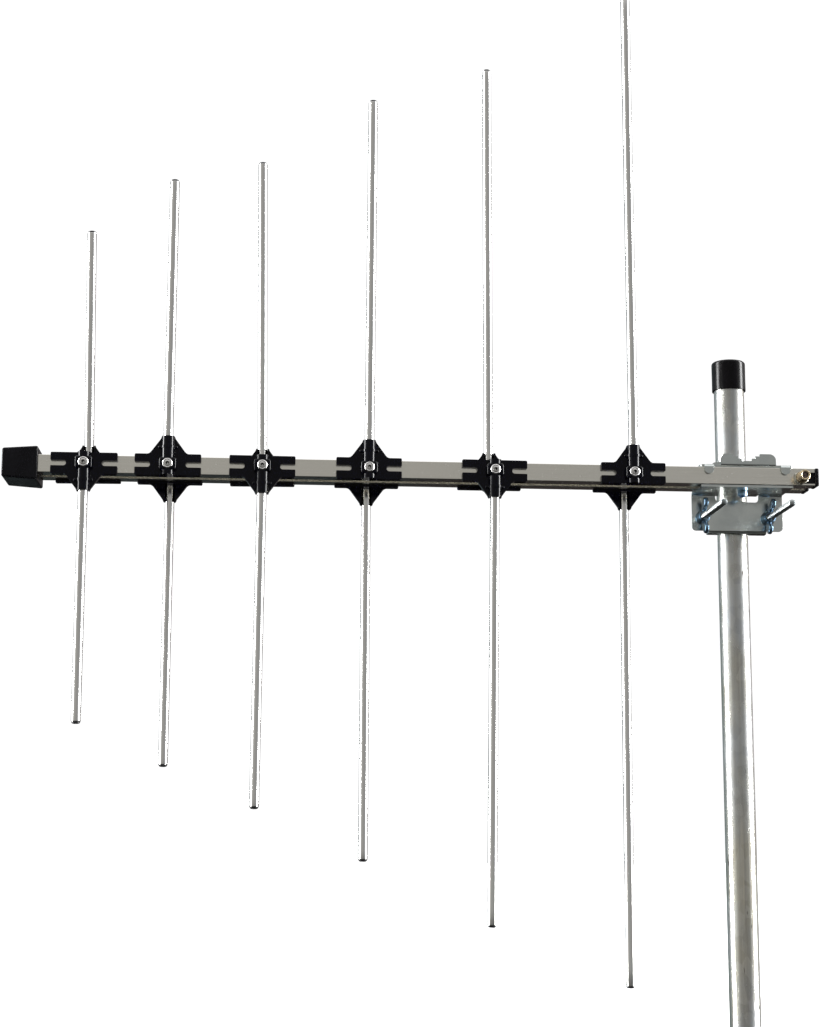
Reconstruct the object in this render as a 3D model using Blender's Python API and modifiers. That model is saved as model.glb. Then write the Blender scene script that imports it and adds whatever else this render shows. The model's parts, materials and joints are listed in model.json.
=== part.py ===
"""Two-boom log-periodic VHF antenna, clamped near its tail to the top of a short mast.

Frame: metres, +Z up. The origin is the centre of the mast's lower end and +Z runs up the mast. The
booms run along X and pass the mast on its -Y side, and the antenna's beam points along -X. The front
boom is the one farther from the mast.
"""

import math

import bmesh
import bpy
from mathutils import Euler, Matrix

GAP = 0.0003  # left between pieces that touch

# Mast, on the Z axis
MAST_RADIUS = 0.01345
MAST_WALL = 0.0023
MAST_LENGTH = 0.600
MAST_CAP_HEIGHT = 0.0274
MAST_CAP_WALL = 0.0013
MAST_CAP_TOP = 0.0022

# Booms: two square tubes side by side
BOOM_SIDE = 0.015
BOOM_WALL = 0.0012
BOOM_GAP = 0.009
BOOM_Z = 0.4866
PAIR_Y = -0.0373  # mid-plane between the booms
NOSE_X = -0.629
TAIL_X = 0.0596
REAR_TAIL_X = 0.0574
FRONT_FACE_Y = PAIR_Y - BOOM_GAP / 2 - BOOM_SIDE
REAR_FACE_Y = PAIR_Y + BOOM_GAP / 2 + BOOM_SIDE
BORE_HALF = BOOM_SIDE / 2 - BOOM_WALL

# Dipoles, longest first: place along the boom, and half of the tip-to-tip length
DIPOLES = (
    (-0.1004, 0.4354),
    (-0.2207, 0.3833),
    (-0.3286, 0.3306),
    (-0.4194, 0.2879),
    (-0.4992, 0.2521),
    (-0.5695, 0.2193),
)
# Degrees that each half-rod leans on its rivet towards +X: its clamp turns by half as much
LEANS = {
    "front": (-0.1, -0.62, 0.22, -0.4, 0.0, 0.18),
    "rear": (-0.13, -0.06, -0.08, -0.85, 0.0, -1.1),
}
ROD_RADIUS = 0.004
ROD_WALL = 0.001
ROD_OFFSET = ROD_RADIUS + GAP  # rod axis in front of the boom's face
ROD_ROOT = -0.0065  # the rod's inner end, past the boom's centre line
PLUG_DOME = 0.0022

# Element clamp: local frame on the boom's face, -Y outwards and +Z along the rod
CLAMP_HALF = 0.028
CLAMP_HALF_HEIGHT = 0.0092
CLAMP_PLATE = 0.003
CLAMP_TIP = 0.024
CLAMP_LIP = 0.0045
SLOT_LENGTH, SLOT_HALF = 0.013, 0.0023
RIB_RADIUS = 0.0054
BOSS_HEIGHT = 0.0098
BOSS_RADIUS, BOSS_FLAT = 0.0065, 0.0055
RIVET_HOLE = 0.0022
RIVET_SHANK = 0.0019
RIVET_HEAD = 0.0044

# Bracket sheets, centred on the mast's axis along X
SHEET = 0.002
PLATE_HALF = 0.0405
PLATE_LIFT = BOOM_SIDE / 2 + 0.0004  # plate face above the booms' centre plane
U_HALF = 0.0293  # half of the U-bolt's leg spacing
LEG_HOLE = 0.0034
WEB_FRONT_Y = -0.019
WEB_BOTTOM_Z = BOOM_Z - 0.0422
U_X, U_Z = -0.002, BOOM_Z - 0.0308  # the U-bolt sits a little to the left in its clearance round the mast
STEP_WIDTH, STEP_RISE, STEP_FLOOR = 0.0036, 0.0021, 0.0041
JAW_LEFT, JAW_RIGHT = -0.0231, 0.0257
TONGUE_X, TONGUE_HALF = 0.0337, 0.0042

# U-bolt and wing nuts, M6
LEG_RADIUS = 0.003
LEG_END_Y = -0.099
U_CENTRE_Y = -math.sqrt((U_HALF - LEG_RADIUS - MAST_RADIUS - GAP) ** 2 - U_X**2)
NUT_HEIGHT = 0.008
WING_SPAN, WING_RISE, WING_THICK = 0.016, 0.0165, 0.003
WING_TILT = {"left": 0.0, "right": math.radians(8)}

# Coax socket on the front boom's tail
SOCKET_X, SOCKET_Z = 0.0473, BOOM_Z - 0.001
SOCKET_RADIUS = 0.0047
SOCKET_LENGTH = 0.0143
HEX_ACROSS = 0.011
CABLE_RADIUS = 0.003
CABLE_Y = FRONT_FACE_Y + 0.0103


def clear_scene():
    for obj in list(bpy.data.objects):
        bpy.data.objects.remove(obj, do_unlink=True)


clear_scene()
PARTS = bpy.data.collections.new("log_periodic_antenna")
CUTTERS = bpy.data.collections.new("cutters")
for group in (PARTS, CUTTERS):
    bpy.context.scene.collection.children.link(group)


def material(name, color, metallic, roughness):
    made = bpy.data.materials.new(name)
    made.use_nodes = True
    shader = made.node_tree.nodes["Principled BSDF"]
    shader.inputs["Base Color"].default_value = (*color, 1)
    shader.inputs["Metallic"].default_value = metallic
    shader.inputs["Roughness"].default_value = roughness
    return made


ALUMINIUM = material("aluminium", (0.62, 0.61, 0.58), 1.0, 0.3)
ZINC = material("zinc_plate", (0.46, 0.49, 0.48), 1.0, 0.32)
GALVANISED = material("galvanised", (0.6, 0.6, 0.57), 1.0, 0.35)
BLACK_PLASTIC = material("black_plastic", (0.008, 0.008, 0.012), 0.0, 0.35)
BLACK_VINYL = material("black_vinyl", (0.012, 0.01, 0.012), 0.0, 0.2)
BRASS = material("brass", (0.72, 0.5, 0.22), 1.0, 0.25)
COPPER = material("copper", (0.75, 0.38, 0.22), 1.0, 0.3)


# --- Shape helpers: each returns a mesh ---


def mesh_from(bm, name):
    bmesh.ops.recalc_face_normals(bm, faces=bm.faces)
    mesh = bpy.data.meshes.new(name)
    bm.to_mesh(mesh)
    bm.free()
    return mesh


def box(name, low, high):
    """A box between two corners."""
    bm = bmesh.new()
    size = [b - a for a, b in zip(low, high)]
    centre = [(a + b) / 2 for a, b in zip(low, high)]
    placed = Matrix.Translation(centre) @ Matrix.Diagonal((*size, 1))
    bmesh.ops.create_cube(bm, size=1, matrix=placed)
    return mesh_from(bm, name)


TURNS = {
    "X": Matrix.Rotation(math.pi / 2, 4, "Y"),
    "Y": Matrix.Rotation(-math.pi / 2, 4, "X"),
    "Z": Matrix.Identity(4),
}


def rod(name, radius, start, end, axis, centre=(0, 0), segments=16):
    """A cylinder along one axis from start to end. centre is its place on the two other axes, in order."""
    bm = bmesh.new()
    bmesh.ops.create_cone(
        bm, cap_ends=True, segments=segments, radius1=radius, radius2=radius, depth=end - start
    )
    place = list(centre)
    place.insert("XYZ".index(axis), (start + end) / 2)
    bmesh.ops.transform(bm, matrix=Matrix.Translation(place) @ TURNS[axis], verts=bm.verts)
    return mesh_from(bm, name)


def evaluated_mesh(obj, cap=False):
    """The object's final mesh, with a curve's loose caps sewn on or its open ends capped. The object is removed."""
    bpy.context.view_layer.update()
    graph = bpy.context.evaluated_depsgraph_get()
    mesh = bpy.data.meshes.new_from_object(obj.evaluated_get(graph))
    mesh.name = obj.name
    bm = bmesh.new()
    bm.from_mesh(mesh)
    bmesh.ops.remove_doubles(bm, verts=bm.verts, dist=1e-6)
    if cap:
        bmesh.ops.holes_fill(bm, edges=bm.edges, sides=0)
    bmesh.ops.recalc_face_normals(bm, faces=bm.faces)
    bm.to_mesh(mesh)
    bm.free()
    bpy.data.objects.remove(obj)
    return mesh


def turned(name, profile, segments):
    """A profile of (radius, height) points turned about Z: it starts and ends on the axis, or is a loop."""
    bm = bmesh.new()
    points = [bm.verts.new((radius, 0, height)) for radius, height in profile]
    ends = list(zip(points, points[1:]))
    if profile[0][0] > 0:
        ends.append((points[-1], points[0]))
    for pair in ends:
        bm.edges.new(pair)
    mesh = bpy.data.meshes.new(name)
    bm.to_mesh(mesh)
    bm.free()
    obj = bpy.data.objects.new(name, mesh)
    CUTTERS.objects.link(obj)
    screw = obj.modifiers.new("Screw", "SCREW")
    screw.axis = "Z"
    screw.steps = screw.render_steps = segments
    screw.use_merge_vertices = True
    screw.merge_threshold = 1e-5
    return evaluated_mesh(obj)


PLANES = {
    "XY": Matrix.Identity(4),
    "XZ": Matrix.Rotation(math.pi / 2, 4, "X"),
    "YZ": Matrix(((0, 0, 1, 0), (1, 0, 0, 0), (0, 1, 0, 0), (0, 0, 0, 1))),
}


def slab(name, outline, plane, low, high):
    """A flat outline in one plane, as thick as from low to high along that plane's normal."""
    curve = bpy.data.curves.new(name, "CURVE")
    curve.dimensions = "2D"
    curve.fill_mode = "NONE"
    curve.extrude = (high - low) / 2
    spline = curve.splines.new("POLY")
    spline.points.add(len(outline) - 1)
    for point, place in zip(spline.points, outline):
        point.co = (*place, 0, 1)
    spline.use_cyclic_u = True
    obj = bpy.data.objects.new(name, curve)
    CUTTERS.objects.link(obj)
    mesh = evaluated_mesh(obj, cap=True)
    bpy.data.curves.remove(curve)
    shift = [0, 0, 0]
    shift["XYZ".index(({"X", "Y", "Z"} - set(plane)).pop())] = (low + high) / 2
    mesh.transform(Matrix.Translation(shift) @ PLANES[plane])
    return mesh


def wire(name, points, radius, resolution=2):
    """A round wire through the points, with flat ends."""
    curve = bpy.data.curves.new(name, "CURVE")
    curve.dimensions = "3D"
    curve.bevel_depth = radius
    curve.bevel_resolution = resolution
    curve.use_fill_caps = True
    spline = curve.splines.new("POLY")
    spline.points.add(len(points) - 1)
    for point, place in zip(spline.points, points):
        point.co = (*place, 1)
    obj = bpy.data.objects.new(name, curve)
    CUTTERS.objects.link(obj)
    mesh = evaluated_mesh(obj)
    bpy.data.curves.remove(curve)
    return mesh


def arc(centre, radius, start, end, steps):
    """Points on an arc, angles in degrees, both ends included."""
    turns = [math.radians(start + (end - start) * i / steps) for i in range(steps + 1)]
    return [(centre[0] + radius * math.cos(a), centre[1] + radius * math.sin(a)) for a in turns]


def helper(mesh):
    obj = bpy.data.objects.new(mesh.name, mesh)
    CUTTERS.objects.link(obj)
    obj.hide_render = True
    obj.display_type = "WIRE"
    return obj


def combine(mesh, steps):
    """The mesh after a list of (operation, other mesh) Boolean steps."""
    obj = bpy.data.objects.new(mesh.name, mesh)
    CUTTERS.objects.link(obj)
    others = [helper(other) for _, other in steps]
    for (operation, _), other in zip(steps, others):
        boolean = obj.modifiers.new(operation.title(), "BOOLEAN")
        boolean.operation = operation
        boolean.solver = "EXACT"
        boolean.object = other
    made = evaluated_mesh(obj)
    for other in others:
        bpy.data.objects.remove(other)
    return made


def bevelled(mesh, width, segments, limit=40):
    obj = bpy.data.objects.new(mesh.name, mesh)
    CUTTERS.objects.link(obj)
    bevel = obj.modifiers.new("Bevel", "BEVEL")
    bevel.width = width
    bevel.segments = segments
    bevel.limit_method = "ANGLE"
    bevel.angle_limit = math.radians(limit)
    return evaluated_mesh(obj)


def add(name, mesh, finish, location=(0, 0, 0), rotation=(0, 0, 0), parent=None):
    """A part in the scene. Its mesh is in its own frame, with its origin at location."""
    if not mesh.materials:
        mesh.materials.append(finish)
    mesh.shade_smooth()
    mesh.set_sharp_from_angle(angle=math.radians(30))
    obj = bpy.data.objects.new(name, mesh)
    PARTS.objects.link(obj)
    obj.location = location
    obj.rotation_euler = rotation
    if parent:
        obj.parent = parent
        obj.location = [a - b for a, b in zip(location, parent.location)]
    return obj


def empty(name, location):
    obj = bpy.data.objects.new(name, None)
    PARTS.objects.link(obj)
    obj.location = location
    return obj


# --- Mast ---


def add_mast():
    inner = MAST_RADIUS - MAST_WALL
    tube = [(MAST_RADIUS, MAST_LENGTH), (MAST_RADIUS, 0), (inner, 0), (inner, MAST_LENGTH)]
    add("mast_tube", turned("mast_tube", tube, 32), GALVANISED)

    top = MAST_LENGTH + GAP + MAST_CAP_TOP
    bottom = top - MAST_CAP_HEIGHT
    bore = MAST_RADIUS + GAP
    outer = bore + MAST_CAP_WALL
    round_edge = arc((outer - 0.002, top - 0.002), 0.002, 90, 0, 3)
    inside = [(bore, bottom), (bore, MAST_LENGTH + GAP), (0, MAST_LENGTH + GAP)]
    profile = [(0, top), *round_edge, (outer, bottom), *inside]
    add("mast_cap", turned("mast_cap", profile, 32), BLACK_VINYL)


# --- Booms and their end caps ---


def boom(name, centre_y, outward, tail_x, cuts):
    """A square tube with a rivet hole through its outer wall at each dipole."""
    half = BOOM_SIDE / 2
    low, high = (NOSE_X, centre_y - half, BOOM_Z - half), (tail_x, centre_y + half, BOOM_Z + half)
    shell = bevelled(box(name, low, high), 0.0008, 1)
    past = 0.001
    bore_low = (NOSE_X - past, centre_y - BORE_HALF, BOOM_Z - BORE_HALF)
    bore_high = (tail_x + past, centre_y + BORE_HALF, BOOM_Z + BORE_HALF)
    steps = [("DIFFERENCE", box("bore", bore_low, bore_high))]
    wall = sorted((centre_y + outward * (half + past), centre_y + outward * (BORE_HALF - past)))
    for x, _ in DIPOLES:
        steps.append(("DIFFERENCE", rod("hole", RIVET_HOLE, *wall, "Y", (x, BOOM_Z), 12)))
    steps += [("DIFFERENCE", cut) for cut in cuts]
    return combine(shell, steps)


def add_booms(parent):
    front_y = FRONT_FACE_Y + BOOM_SIDE / 2
    rear_y = REAR_FACE_Y - BOOM_SIDE / 2
    slot_half = SOCKET_RADIUS + GAP
    past = 0.001
    slot = box(
        "slot",
        (SOCKET_X - slot_half, FRONT_FACE_Y - past, SOCKET_Z - slot_half),
        (TAIL_X + past, FRONT_FACE_Y + BOOM_WALL + past, SOCKET_Z + slot_half),
    )
    add("boom_front", boom("boom_front", front_y, -1, TAIL_X, [slot]), ALUMINIUM, parent=parent)
    add("boom_rear", boom("boom_rear", rear_y, 1, REAR_TAIL_X, []), ALUMINIUM, parent=parent)


def add_nose_cap(parent):
    """A hollow box over the booms' front ends, a little taller at its open end, with a hole for each boom."""
    end_x, open_x = -0.6382, -0.6082
    end_half, open_half = 0.0123, 0.0146
    wall, face = 0.0025, 0.003
    side_y = 0.003
    outline = [(end_x, -end_half), (open_x, -open_half), (open_x, open_half), (end_x, end_half)]
    outline = [(x, BOOM_Z + z) for x, z in outline]
    shell = slab("nose_cap", outline, "XZ", FRONT_FACE_Y - side_y, REAR_FACE_Y + side_y)
    shell = bevelled(shell, 0.0015, 2)
    inner_low = (end_x + wall, FRONT_FACE_Y - side_y + wall, BOOM_Z - end_half + wall)
    inner_high = (open_x - face, REAR_FACE_Y + side_y - wall, BOOM_Z + end_half - wall)
    steps = [("DIFFERENCE", box("hollow", inner_low, inner_high))]
    half = BOOM_SIDE / 2 + GAP
    for y in (FRONT_FACE_Y + BOOM_SIDE / 2, REAR_FACE_Y - BOOM_SIDE / 2):
        low = (open_x - 2 * face, y - half, BOOM_Z - half)
        steps.append(("DIFFERENCE", box("hole", low, (open_x + face, y + half, BOOM_Z + half))))
    add("nose_cap", combine(shell, steps), BLACK_PLASTIC, parent=parent)


def add_tail_caps(parent):
    """Each boom's end plate, with a square plug inside the tube."""
    plug_length = 0.0068
    rim, half = 0.0079, BORE_HALF - GAP
    tails = (("front", TAIL_X, FRONT_FACE_Y + BOOM_SIDE / 2), ("rear", REAR_TAIL_X, REAR_FACE_Y - BOOM_SIDE / 2))
    for side, tail_x, y in tails:
        plate_x, plug_x = tail_x + GAP, tail_x - plug_length
        high = (plate_x + 0.0036, y + rim, BOOM_Z + rim)
        name = f"tail_cap_{side}"
        plate = bevelled(box(name, (plate_x, y - rim, BOOM_Z - rim), high), 0.001, 2)
        plug = box("plug", (plug_x, y - half, BOOM_Z - half), (plate_x + 0.002, y + half, BOOM_Z + half))
        add(name, combine(plate, [("UNION", plug)]), BLACK_PLASTIC, parent=parent)


# --- Dipoles ---


def element_rod(length):
    """A half-rod along +Z: a tube with a plugged tip, pierced near its root for the rivet."""
    bore = ROD_RADIUS - ROD_WALL
    tip = [(0, length), (0.0022, length - 0.0004), (0.0036, length - 0.0014), (ROD_RADIUS, length - PLUG_DOME)]
    root = [(ROD_RADIUS, ROD_ROOT), (bore, ROD_ROOT), (bore, length - 0.008), (0, length - 0.008)]
    mesh = turned("element_rod", tip + root, 12)
    mesh.transform(Matrix.Translation((0, -ROD_OFFSET, 0)))
    hole = rod("hole", RIVET_HOLE, -0.01, 0.001, "Y", (0, 0), 12)
    return combine(mesh, [("DIFFERENCE", hole)])


def clamp_outline():
    """The clamp's plate and tip in (x, z), with an open slot in each end."""
    half, high = CLAMP_HALF, CLAMP_HALF_HEIGHT
    slot_end = half - SLOT_LENGTH + SLOT_HALF
    right = [(half, -high), (half, -SLOT_HALF), *arc((slot_end, 0), SLOT_HALF, -90, -270, 4)]
    right += [(half, SLOT_HALF), (half, high), (0.0168, high), (0.015, high + 0.0008)]
    right += [(0.0062, CLAMP_TIP - 0.002), (0.0056, CLAMP_TIP)]
    return right + [(-x, z) for x, z in reversed(right)]


def rib_outline(radius):
    """A half-round with straight sides down to the boom's face, in (x, y)."""
    return [(radius, -GAP), *arc((0, -ROD_OFFSET), radius, 0, -180, 6), (-radius, -GAP)]


def boss_outline():
    """A round with flats above and below, in (x, z)."""
    turn = math.degrees(math.asin(BOSS_FLAT / BOSS_RADIUS))
    right = arc((0, 0), BOSS_RADIUS, -turn, turn, 6)
    return right + [(-x, z) for x, z in reversed(right)]


def element_clamp():
    """The plastic saddle: a plate with lips over the boom's edges, a rib over the rod and the rivet's boss."""
    back, front = -GAP, -GAP - CLAMP_PLATE
    plate = slab("element_clamp", clamp_outline(), "XZ", front, back)
    lip_in, lip_out = BOOM_SIDE / 2 + GAP, CLAMP_HALF_HEIGHT
    steps = []
    for low, high in ((lip_in, lip_out), (-lip_out, -lip_in)):
        steps.append(("UNION", box("lip", (-CLAMP_HALF, front / 2, low), (CLAMP_HALF, CLAMP_LIP, high))))
    rib = slab("rib", rib_outline(RIB_RADIUS), "XY", -CLAMP_HALF_HEIGHT, CLAMP_TIP)
    steps.append(("UNION", rib))
    steps.append(("UNION", slab("boss", boss_outline(), "XZ", -BOSS_HEIGHT, front / 2)))
    past = 0.001
    channel = [(x, y + (2 * past if y > -0.001 else 0)) for x, y in rib_outline(ROD_OFFSET)]
    steps.append(("DIFFERENCE", slab("channel", channel, "XY", ROD_ROOT - GAP, CLAMP_TIP + past)))
    steps.append(("DIFFERENCE", rod("hole", RIVET_HOLE, -0.012, 0.001, "Y", (0, 0), 12)))
    return combine(plate, steps)


def blind_rivet():
    """Turned about Z, then laid along Y: head outside the clamp's boss, swollen end inside the boom."""
    seat = BOSS_HEIGHT + GAP
    swell_start, swell_end = -BOOM_WALL - GAP, -BOOM_WALL - 0.0035
    profile = [
        (0, seat + 0.0004),
        (0.0011, seat + 0.0004),
        (0.0012, seat + 0.0013),
        (RIVET_HEAD - 0.0008, seat + 0.0011),
        (RIVET_HEAD, seat + 0.0004),
        (RIVET_HEAD, seat),
        (RIVET_SHANK, seat),
        (RIVET_SHANK, swell_start),
        (0.0028, swell_start - 0.0006),
        (0.0028, swell_end + 0.0006),
        (0.0018, swell_end),
        (0, swell_end),
    ]
    mesh = turned("blind_rivet", profile, 12)
    mesh.transform(Matrix.Rotation(math.pi / 2, 4, "X"))
    return mesh


HALF_TURN = math.pi
SIDES = {
    # boom: its outer face, and the turn of a half-rod that points up or down from it
    "front": (FRONT_FACE_Y, {"up": (0, 0, 0), "down": (0, HALF_TURN, 0)}),
    "rear": (REAR_FACE_Y, {"up": (0, 0, HALF_TURN), "down": (HALF_TURN, 0, 0)}),
}


def add_dipoles(parent):
    clamp, rivet = element_clamp(), blind_rivet()
    for number, (x, half_length) in enumerate(DIPOLES, start=1):
        rod_mesh = element_rod(half_length)
        for side, (face_y, turns) in SIDES.items():
            up = (number % 2 == 1) == (side == "front")
            turn = Euler(turns["up" if up else "down"]).to_matrix()
            lean = math.radians(LEANS[side][number - 1]) * (1 if up else -1)
            place = {"location": (x, face_y, BOOM_Z), "parent": parent}
            for piece, mesh, finish, share in (
                ("rod", rod_mesh, ALUMINIUM, 1),
                ("clamp", clamp, BLACK_PLASTIC, 0.5),
                ("rivet", rivet, ALUMINIUM, 0),
            ):
                leaning = Matrix.Rotation(lean * share, 3, "Y") @ turn
                name = f"element_{number}_{side}_{piece}"
                add(name, mesh, finish, rotation=leaning.to_euler(), **place)


# --- Coax socket, feed cable and feed link ---


def hexagon(across):
    return arc((0, 0), across / math.sqrt(3), 30, 330, 5)


def add_feed(parent):
    face = FRONT_FACE_Y
    ring, bore = SOCKET_RADIUS, 0.0029
    inside = BOOM_WALL + GAP  # depth of the flange's front behind the boom's face
    profile = [
        (0, SOCKET_LENGTH - 0.0045),
        (bore, SOCKET_LENGTH - 0.0045),
        (bore, SOCKET_LENGTH),
        (ring, SOCKET_LENGTH),
        (ring, -inside),
        (0.005, -inside),
        (0.005, -inside - 0.0018),
        (0.004, -inside - 0.0018),
        (0.004, -0.0132),
        (0, -0.0132),
    ]
    socket = turned("coax_socket", profile, 24)
    socket.transform(Matrix.Rotation(math.pi / 2, 4, "X"))
    add("coax_socket", socket, BRASS, (SOCKET_X, face, SOCKET_Z), parent=parent)

    hex_slab = slab("socket_nut", hexagon(HEX_ACROSS), "XZ", -GAP - 0.003, -GAP)
    hole = rod("hole", ring + GAP, -0.01, 0.01, "Y", (0, 0), 24)
    nut = combine(hex_slab, [("DIFFERENCE", hole)])
    add("socket_nut", nut, BRASS, (SOCKET_X, face, SOCKET_Z), parent=parent)

    cable_tail, cable_nose = SOCKET_X - 0.0046, NOSE_X + 0.0015
    route = [(cable_nose, CABLE_Y, BOOM_Z), (cable_tail, CABLE_Y, BOOM_Z)]
    add("feed_cable", wire("feed_cable", route, CABLE_RADIUS), BLACK_PLASTIC, parent=parent)

    rear_y = REAR_FACE_Y - BOOM_SIDE / 2
    bend = 0.003
    turn_x = NOSE_X - 0.002
    first = [(x, y) for x, y in arc((turn_x + bend, CABLE_Y + bend), bend, 270, 180, 4)]
    second = [(x, y) for x, y in arc((turn_x + bend, rear_y - bend), bend, 180, 90, 4)]
    path = [(cable_nose - GAP, CABLE_Y), *first, *second, (NOSE_X + 0.012, rear_y)]
    link = wire("feed_link", [(x, y, BOOM_Z) for x, y in path], 0.0008, 1)
    add("feed_link", link, COPPER, parent=parent)


# --- Bracket ---


def toothed_notch(floor, edge, past):
    """A notch that widens in square steps, as (across, along) points. It opens past the sheet's edge."""
    right = []
    along = floor
    across = STEP_FLOOR
    while along < edge - STEP_RISE / 2:
        right += [(across, along), (across, along + STEP_RISE)]
        along += STEP_RISE
        across += STEP_WIDTH
    right.append((across - STEP_WIDTH, edge + past))
    return right + [(-x, y) for x, y in reversed(right)]


def plate_holes(low, high):
    """Cutters for the U-bolt's other place and the plate bolt, both between the booms."""
    cuts = [rod("hole", LEG_HOLE, low, high, "Z", (x, PAIR_Y), 16) for x in (-U_HALF, U_HALF)]
    return cuts + [rod("hole", 0.0028, low, high, "Z", (0, PAIR_Y), 16)]


def bent_up(front, rear, low, top):
    """Section in (y, z) of a sheet whose two ends turn up."""
    radius = 0.001
    outer = radius + SHEET
    right = [*arc((rear - outer, low + outer), outer, -90, 0, 4), (rear, top), (rear - SHEET, top)]
    right += arc((rear - outer, low + outer), radius, 0, -90, 3)
    middle = (front + rear) / 2
    return right + [(2 * middle - y, z) for y, z in reversed(right)]


def tongue_cut():
    """What is cut off a tongue's lower end to leave it half round, in (x, z) about the tongue's middle."""
    end = BOOM_Z + 0.0013
    far, low = TONGUE_HALF + 0.001, end - 0.004
    return [
        (far, end + TONGUE_HALF),
        *arc((0, end + TONGUE_HALF), TONGUE_HALF, 0, -180, 8),
        (-far, end + TONGUE_HALF),
        (-far, low),
        (far, low),
    ]


def add_saddle(parent):
    """The upper plate: toothed jaws turned up front and rear, and four tongues turned down over the booms."""
    low = BOOM_Z + PLATE_LIFT
    high = low + SHEET
    front, rear = FRONT_FACE_Y - 0.0002, REAR_FACE_Y + 0.0002
    edge = 0.001
    low_corner = (-PLATE_HALF, FRONT_FACE_Y + edge, low)
    plate = box("upper_saddle", low_corner, (PLATE_HALF, REAR_FACE_Y - edge, high))
    jaw_top = BOOM_Z + 0.0195
    jaws = slab("jaws", bent_up(front, rear, low, jaw_top), "YZ", JAW_LEFT, JAW_RIGHT)
    floor = jaw_top - 3 * STEP_RISE
    past = 0.002
    notch = slab("notch", toothed_notch(floor, jaw_top, past), "XZ", front - past, rear + past)
    steps = [("DIFFERENCE", notch)]
    corner = 0.0055
    for sign, end in ((-1, JAW_LEFT), (1, JAW_RIGHT)):
        outer = end + sign * past
        curve = arc((abs(end) - corner, jaw_top - corner), corner, 0, 90, 5)
        shape = [(sign * x, z) for x, z in curve]
        shape += [(shape[-1][0], jaw_top + past), (outer, jaw_top + past), (outer, shape[0][1])]
        steps.append(("DIFFERENCE", slab("corner", shape, "XZ", front - past, rear + past)))
    jaws = combine(jaws, steps)

    tongue_front, tongue_rear = FRONT_FACE_Y - 0.0024, REAR_FACE_Y + 0.0024
    section = [(y, low + high - z) for y, z in bent_up(tongue_front, tongue_rear, low, high + 0.0085)]
    steps = [("UNION", jaws)]
    for x in (-TONGUE_X, TONGUE_X):
        band = slab("tongues", section, "YZ", x - TONGUE_HALF, x + TONGUE_HALF)
        shape = [(x + across, z) for across, z in tongue_cut()]
        rounded = slab("round", shape, "XZ", tongue_front - past, tongue_rear + past)
        steps.append(("UNION", combine(band, [("DIFFERENCE", rounded)])))
    steps += [("DIFFERENCE", cut) for cut in plate_holes(low - past, high + past)]
    add("upper_saddle", combine(plate, steps), ZINC, parent=parent)


def bracket_section():
    """Section in (y, z) of the lower plate and the web that turns down from its rear."""
    top = BOOM_Z - PLATE_LIFT
    low = top - SHEET
    rear = WEB_FRONT_Y + SHEET
    inner, outer = 0.002, 0.002 + SHEET
    start = FRONT_FACE_Y + 0.0008
    bend = (rear - outer, top - outer)
    section = [(start, low), (start, top), *arc(bend, outer, 90, 0, 5), (rear, WEB_BOTTOM_Z)]
    return section + [(WEB_FRONT_Y, WEB_BOTTOM_Z), *arc(bend, inner, 0, 90, 4)]


def add_lower_bracket(parent):
    """The lower plate and web in one sheet, with a toothed tab above and a toothed flange below for the mast."""
    past = 0.002
    top = BOOM_Z - PLATE_LIFT
    low = top - SHEET
    rear = WEB_FRONT_Y + SHEET
    folded = slab("lower_bracket", bracket_section(), "YZ", -PLATE_HALF, PLATE_HALF)

    corner = 0.0035
    steps = []
    for sign in (-1, 1):
        curve = arc((PLATE_HALF - corner, WEB_BOTTOM_Z + corner), corner, 0, -90, 4)
        shape = [(sign * x, z) for x, z in curve]
        outer, under = sign * (PLATE_HALF + past), WEB_BOTTOM_Z - past
        shape += [(shape[-1][0], under), (outer, under), (outer, shape[0][1])]
        steps.append(("DIFFERENCE", slab("corner", shape, "XZ", WEB_FRONT_Y - past, rear + past)))

    # The opening that the tab is cut from, with a low wave where the tab's notch was
    wide, deep, wave = 0.0195, BOOM_Z - 0.0164, 0.0013
    right = [(wide, top + past), (wide, deep + corner), *arc((wide - corner, deep + corner), corner, 0, -90, 4)]
    right += [(0.0075, deep), (0.0045, deep + wave)]
    opening = right + [(-x, z) for x, z in reversed(right)]
    bend_start = rear - SHEET - 0.002
    steps.append(("DIFFERENCE", slab("opening", opening, "XZ", bend_start, rear + past)))

    tab_half, tab_end, notch_floor = wide - 0.0005, -0.0122, -0.0139
    tab = [(-tab_half, bend_start - past), (tab_half, bend_start - past), (tab_half, tab_end)]
    tab += [(0.0066, tab_end), (0.0042, notch_floor), (-0.0042, notch_floor), (-0.0066, tab_end)]
    tab.append((-tab_half, tab_end))
    steps.append(("UNION", slab("tab", tab, "XY", low, top)))

    # The flange under the web, turned back towards the mast
    flange_half, flange_low = 0.026, BOOM_Z - 0.0446
    inner, outer = 0.002, 0.002 + SHEET
    floor = -0.0156
    edge = floor + 3 * STEP_RISE
    bend = (WEB_FRONT_Y + outer, flange_low + outer)
    section = [(WEB_FRONT_Y, flange_low + outer + corner), *arc(bend, outer, 180, 270, 5)]
    section += [(edge, flange_low), (edge, flange_low + SHEET), *arc(bend, inner, 270, 180, 4)]
    section.append((rear, flange_low + outer + corner))
    flange = slab("flange", section, "YZ", -flange_half, flange_half)
    notch = slab("notch", toothed_notch(floor, edge, past), "XY", flange_low - past, flange_low + outer)
    steps.append(("UNION", combine(flange, [("DIFFERENCE", notch)])))

    for x in (U_X - U_HALF, U_X + U_HALF):
        hole = rod("hole", LEG_HOLE, WEB_FRONT_Y - past, rear + past, "Y", (x, U_Z), 16)
        steps.append(("DIFFERENCE", hole))
    steps += [("DIFFERENCE", cut) for cut in plate_holes(low - past, top + past)]
    add("lower_bracket", combine(folded, steps), ZINC, parent=parent)


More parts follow.
